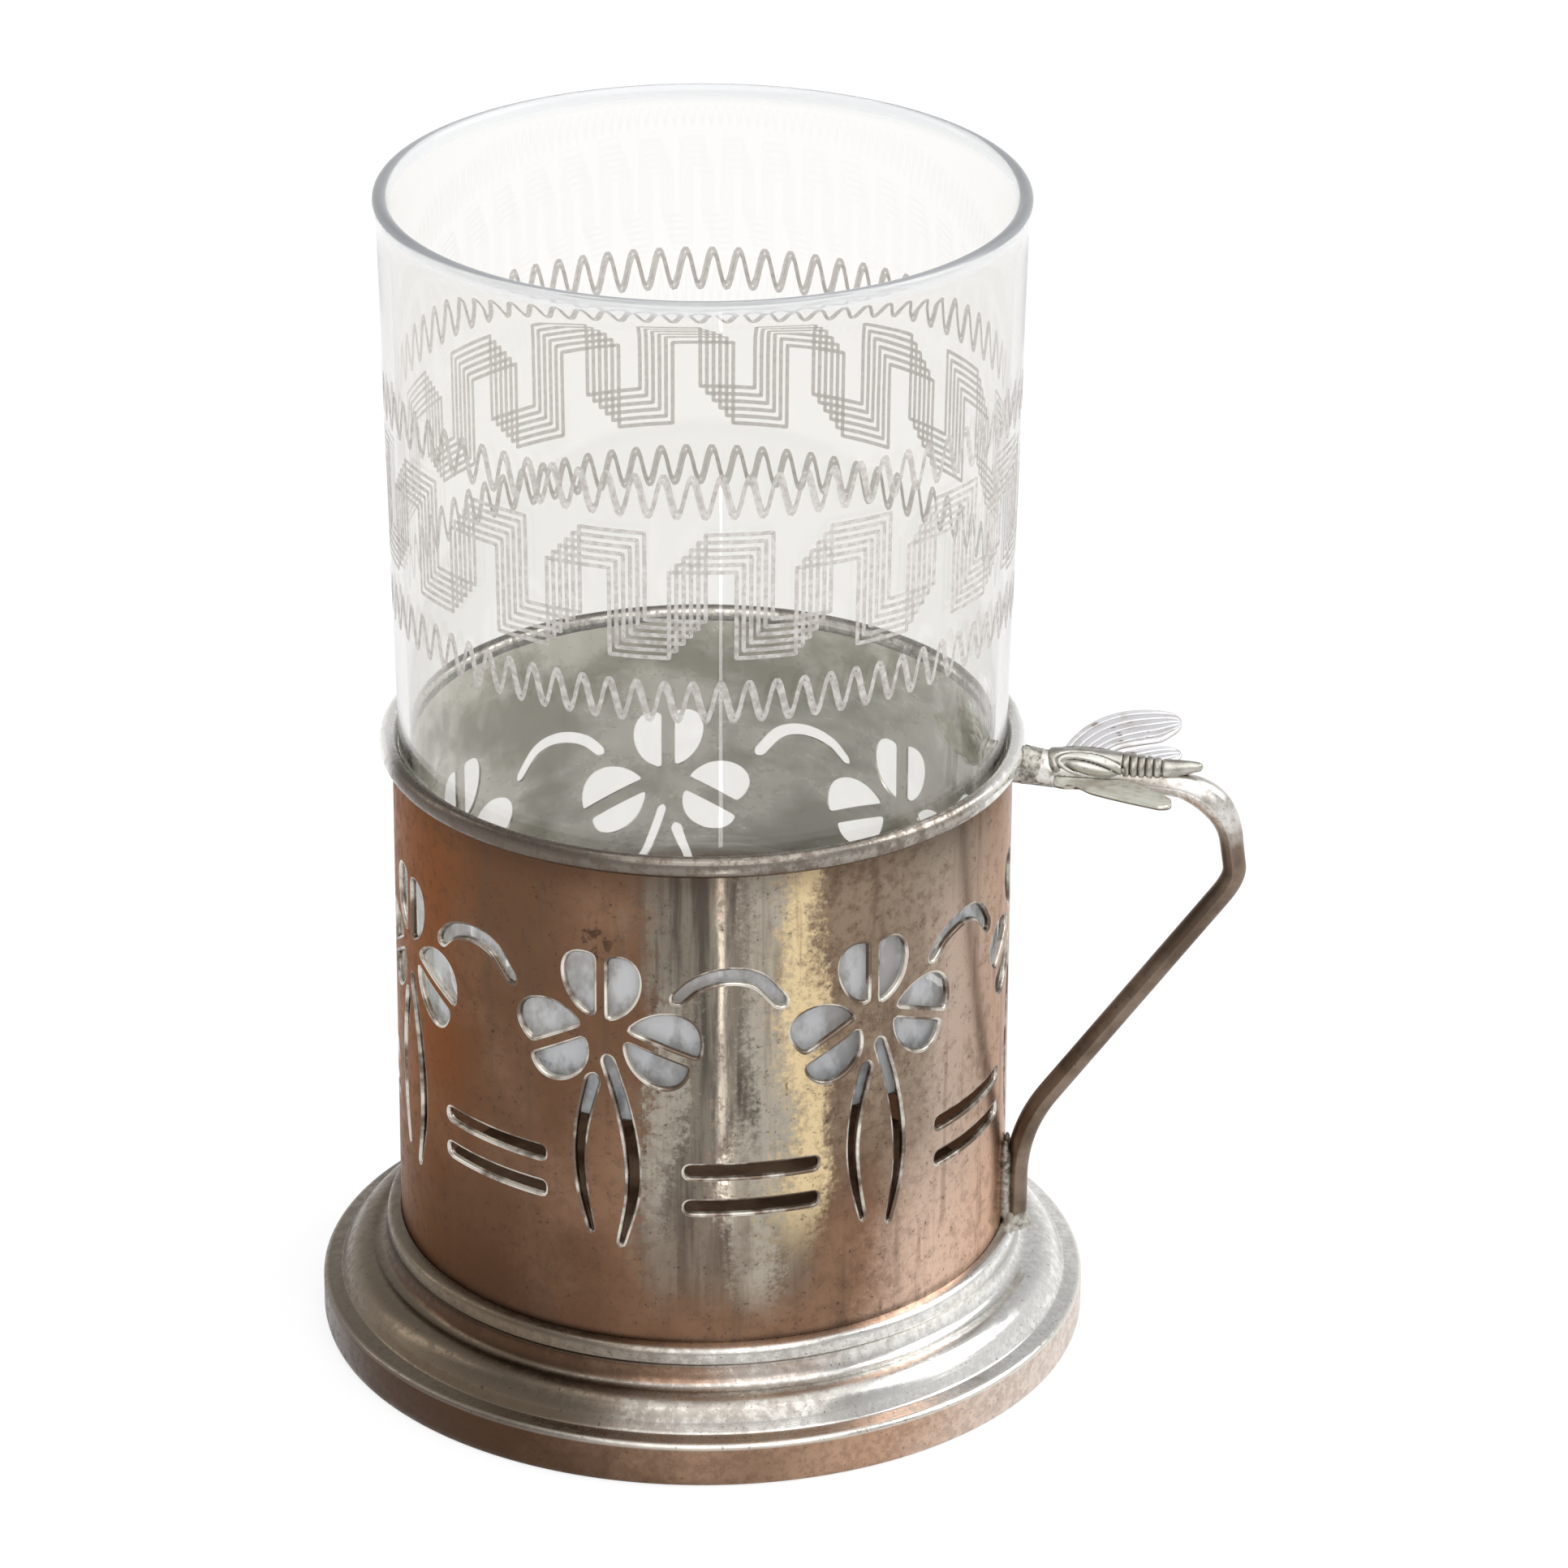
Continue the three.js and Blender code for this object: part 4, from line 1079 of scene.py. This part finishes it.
def wave_line(height, rise, phase):
    """Rounded zigzag round the glass."""
    steps = 14
    count = WAVES * steps
    line = []
    for i in range(count):
        turn = math.tau * i / count
        swing = math.sin(WAVES * turn + phase)
        line.append((turn, height + rise * swing * (1.12 - 0.12 * swing * swing)))
    return line


def key_line(needle):
    """Square wave round the glass, drawn by one of the needles."""
    step = math.tau / KEYS
    shift = needle * NEEDLE_STEP.x / glass_outside(BAND_MIDDLE)
    top = KEY_TOP + needle * NEEDLE_STEP.y
    line = []
    for i in range(KEYS):
        start = KEY_TURN + shift + step * i
        end = start + step * KEY_SHARE
        low = top - KEY_RISE
        corners = [(start, low), (start, top), (end, top), (end, low), (start + step, low)]
        for (turn, height), (next_turn, next_height) in zip(corners, corners[1:]):
            for share in (0.0, 0.02, 0.25, 0.5, 0.75, 0.98):
                line.append((turn + (next_turn - turn) * share, height + (next_height - height) * share))
    return line


frosted = finish_named("frosted_line")
grain = frosted.noise(frosted.place(), 1300.0, 3.0)
shader = frosted.node(
    "ShaderNodeBsdfPrincipled",
    {},
    {
        "Base Color": frosted.mix(grain.between(0.35, 0.65), tone(182, 176, 171), tone(206, 202, 198)),
        "Roughness": 0.6,
        "Alpha": 0.48 + 0.14 * grain.between(0.3, 0.7),
    },
)
frosted.node("ShaderNodeOutputMaterial", {}, {"Surface": shader})
bands = (
    ("etched_upper_wave", [wave_line(104.6, 1.9, 0.0), wave_line(104.0, 1.9, 0.35)]),
    ("etched_keys", [key_line(needle) for needle in range(NEEDLES)]),
    ("etched_lower_wave", [wave_line(83.0, 1.8, 0.0), wave_line(82.4, 1.8, 0.35)]),
)
for name, lines in bands:
    band = etched(name, lines, frosted)
    band.visible_shadow = False
    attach(band, "glass")

# Floor, light and camera
# Pale floor that shows white and keeps a soft shadow, a studio that is white round the horizon and grey
# above, with soft lamps, and the camera at the photograph's angle.
floor_mesh = bpy.data.meshes.new("pale_floor")
floor_mesh.from_pydata([(-6, -6, 0), (6, -6, 0), (6, 6, 0), (-6, 6, 0)], [], [(0, 1, 2, 3)])
pale_floor = finish_named("pale_floor")
floor = placed("pale_floor", floor_mesh, pale_floor)
path = pale_floor.node("ShaderNodeLightPath", {}, {})
rays = ("Is Camera Ray", "Is Glossy Ray", "Is Transmission Ray")
seen = [Value(pale_floor, path.socket.node.outputs[ray]) for ray in rays]
matt = pale_floor.node("ShaderNodeBsdfDiffuse", {}, {"Color": (0.82, 0.82, 0.82, 1.0)})
white = pale_floor.node("ShaderNodeEmission", {}, {"Color": (1.0, 1.0, 1.0, 1.0), "Strength": 1.12})
share = 0.68 * seen[0] + 0.45 * seen[1] + 0.6 * seen[2]
surface = pale_floor.node("ShaderNodeMixShader", {}, {0: share, 1: matt, 2: white})
pale_floor.node("ShaderNodeOutputMaterial", {}, {"Surface": surface})

bpy.context.scene.world = bpy.data.worlds.new("studio")
studio = Finish(bpy.context.scene.world)
z = studio.axes(studio.node("ShaderNodeTexCoord", {}, {}, "Generated"))[2]
horizon = studio.node("ShaderNodeBackground", {}, {"Color": (1.0, 1.0, 1.0, 1.0), "Strength": 0.9})
ceiling = studio.node("ShaderNodeBackground", {}, {"Color": (0.6, 0.6, 0.61, 1.0), "Strength": 0.9})
backdrop = studio.node("ShaderNodeMixShader", {}, {0: z.between(0.12, 0.6), 1: horizon, 2: ceiling})
studio.node("ShaderNodeOutputWorld", {}, {"Surface": backdrop})


def lamp(name, place, aim, width, height, power):
    """Soft rectangular lamp at a place, turned to an aim, both in metres from the foot of the mug's axis."""
    light = bpy.data.lights.new(name, "AREA")
    light.shape = "RECTANGLE"
    light.size = width
    light.size_y = height
    light.energy = power
    item = bpy.data.objects.new(name, light)
    facing = (Vector(place) - Vector(aim)).to_track_quat("Z", "Y").to_matrix().to_4x4()
    item.matrix_world = Matrix.Translation(AXIS + Vector(place)) @ facing
    bpy.context.scene.collection.objects.link(item)
    item.visible_camera = False
    return item


lamp("right_softbox", (0.75, 0.25, 0.75), (0, 0, 0.05), 0.7, 0.6, 5.0)
lamp("top_softbox", (0.05, -0.1, 1.1), (0, 0, 0.05), 0.9, 0.9, 3.6)
lamp("front_softbox", (0.2, -0.8, 0.95), (0, 0, 0.05), 1.3, 0.9, 6.0)
lamp("left_softbox", (-0.9, 0.2, 0.6), (0, 0, 0.06), 0.25, 0.7, 0.9)
STRIP_TURN = math.radians(-76)
STRIP_DISTANCE = 0.171
strip_spot = Vector((math.cos(STRIP_TURN), math.sin(STRIP_TURN), 0)) * STRIP_DISTANCE
strip_place = strip_spot + Vector((0, 0, 0.001))
strip = lamp("floor_strip", strip_place, strip_spot + Vector((0, 0, 0.1)), 0.004, 0.18, 0.015)
facing = Matrix.Rotation(STRIP_TURN + math.pi / 2, 4, "Z") @ Matrix.Rotation(math.pi, 4, "Y")
strip.matrix_world = Matrix.Translation(strip.location) @ facing
strip.visible_transmission = False

VIEW_TURN = math.radians(8)
VIEW_PITCH = math.radians(24.472)
VIEW_YAW = math.radians(0.668)
VIEW_DISTANCE = 713.3 * MM
VIEW_HEIGHT = 59.7 * MM
aim = AXIS + Vector((0, 0, VIEW_HEIGHT))
level_right = Vector((math.cos(VIEW_TURN), math.sin(VIEW_TURN), 0))
level = math.cos(VIEW_PITCH)
ahead = Vector((-math.sin(VIEW_TURN) * level, math.cos(VIEW_TURN) * level, -math.sin(VIEW_PITCH)))
camera_up = level_right.cross(ahead)
camera_place = aim - ahead * VIEW_DISTANCE
forward = ahead * math.cos(VIEW_YAW) + level_right * math.sin(VIEW_YAW)
camera_right = level_right * math.cos(VIEW_YAW) - ahead * math.sin(VIEW_YAW)
turned_to = Matrix((camera_right, camera_up, -forward)).transposed()
camera_data = bpy.data.cameras.new("camera")
camera_data.sensor_width = 36.0
camera_data.lens = 159.78
camera_data.clip_start = 0.01
camera = bpy.data.objects.new("camera", camera_data)
camera.matrix_world = Matrix.Translation(camera_place) @ turned_to.to_4x4()
bpy.context.scene.collection.objects.link(camera)
bpy.context.scene.camera = camera
bpy.context.scene.view_settings.view_transform = "Standard"
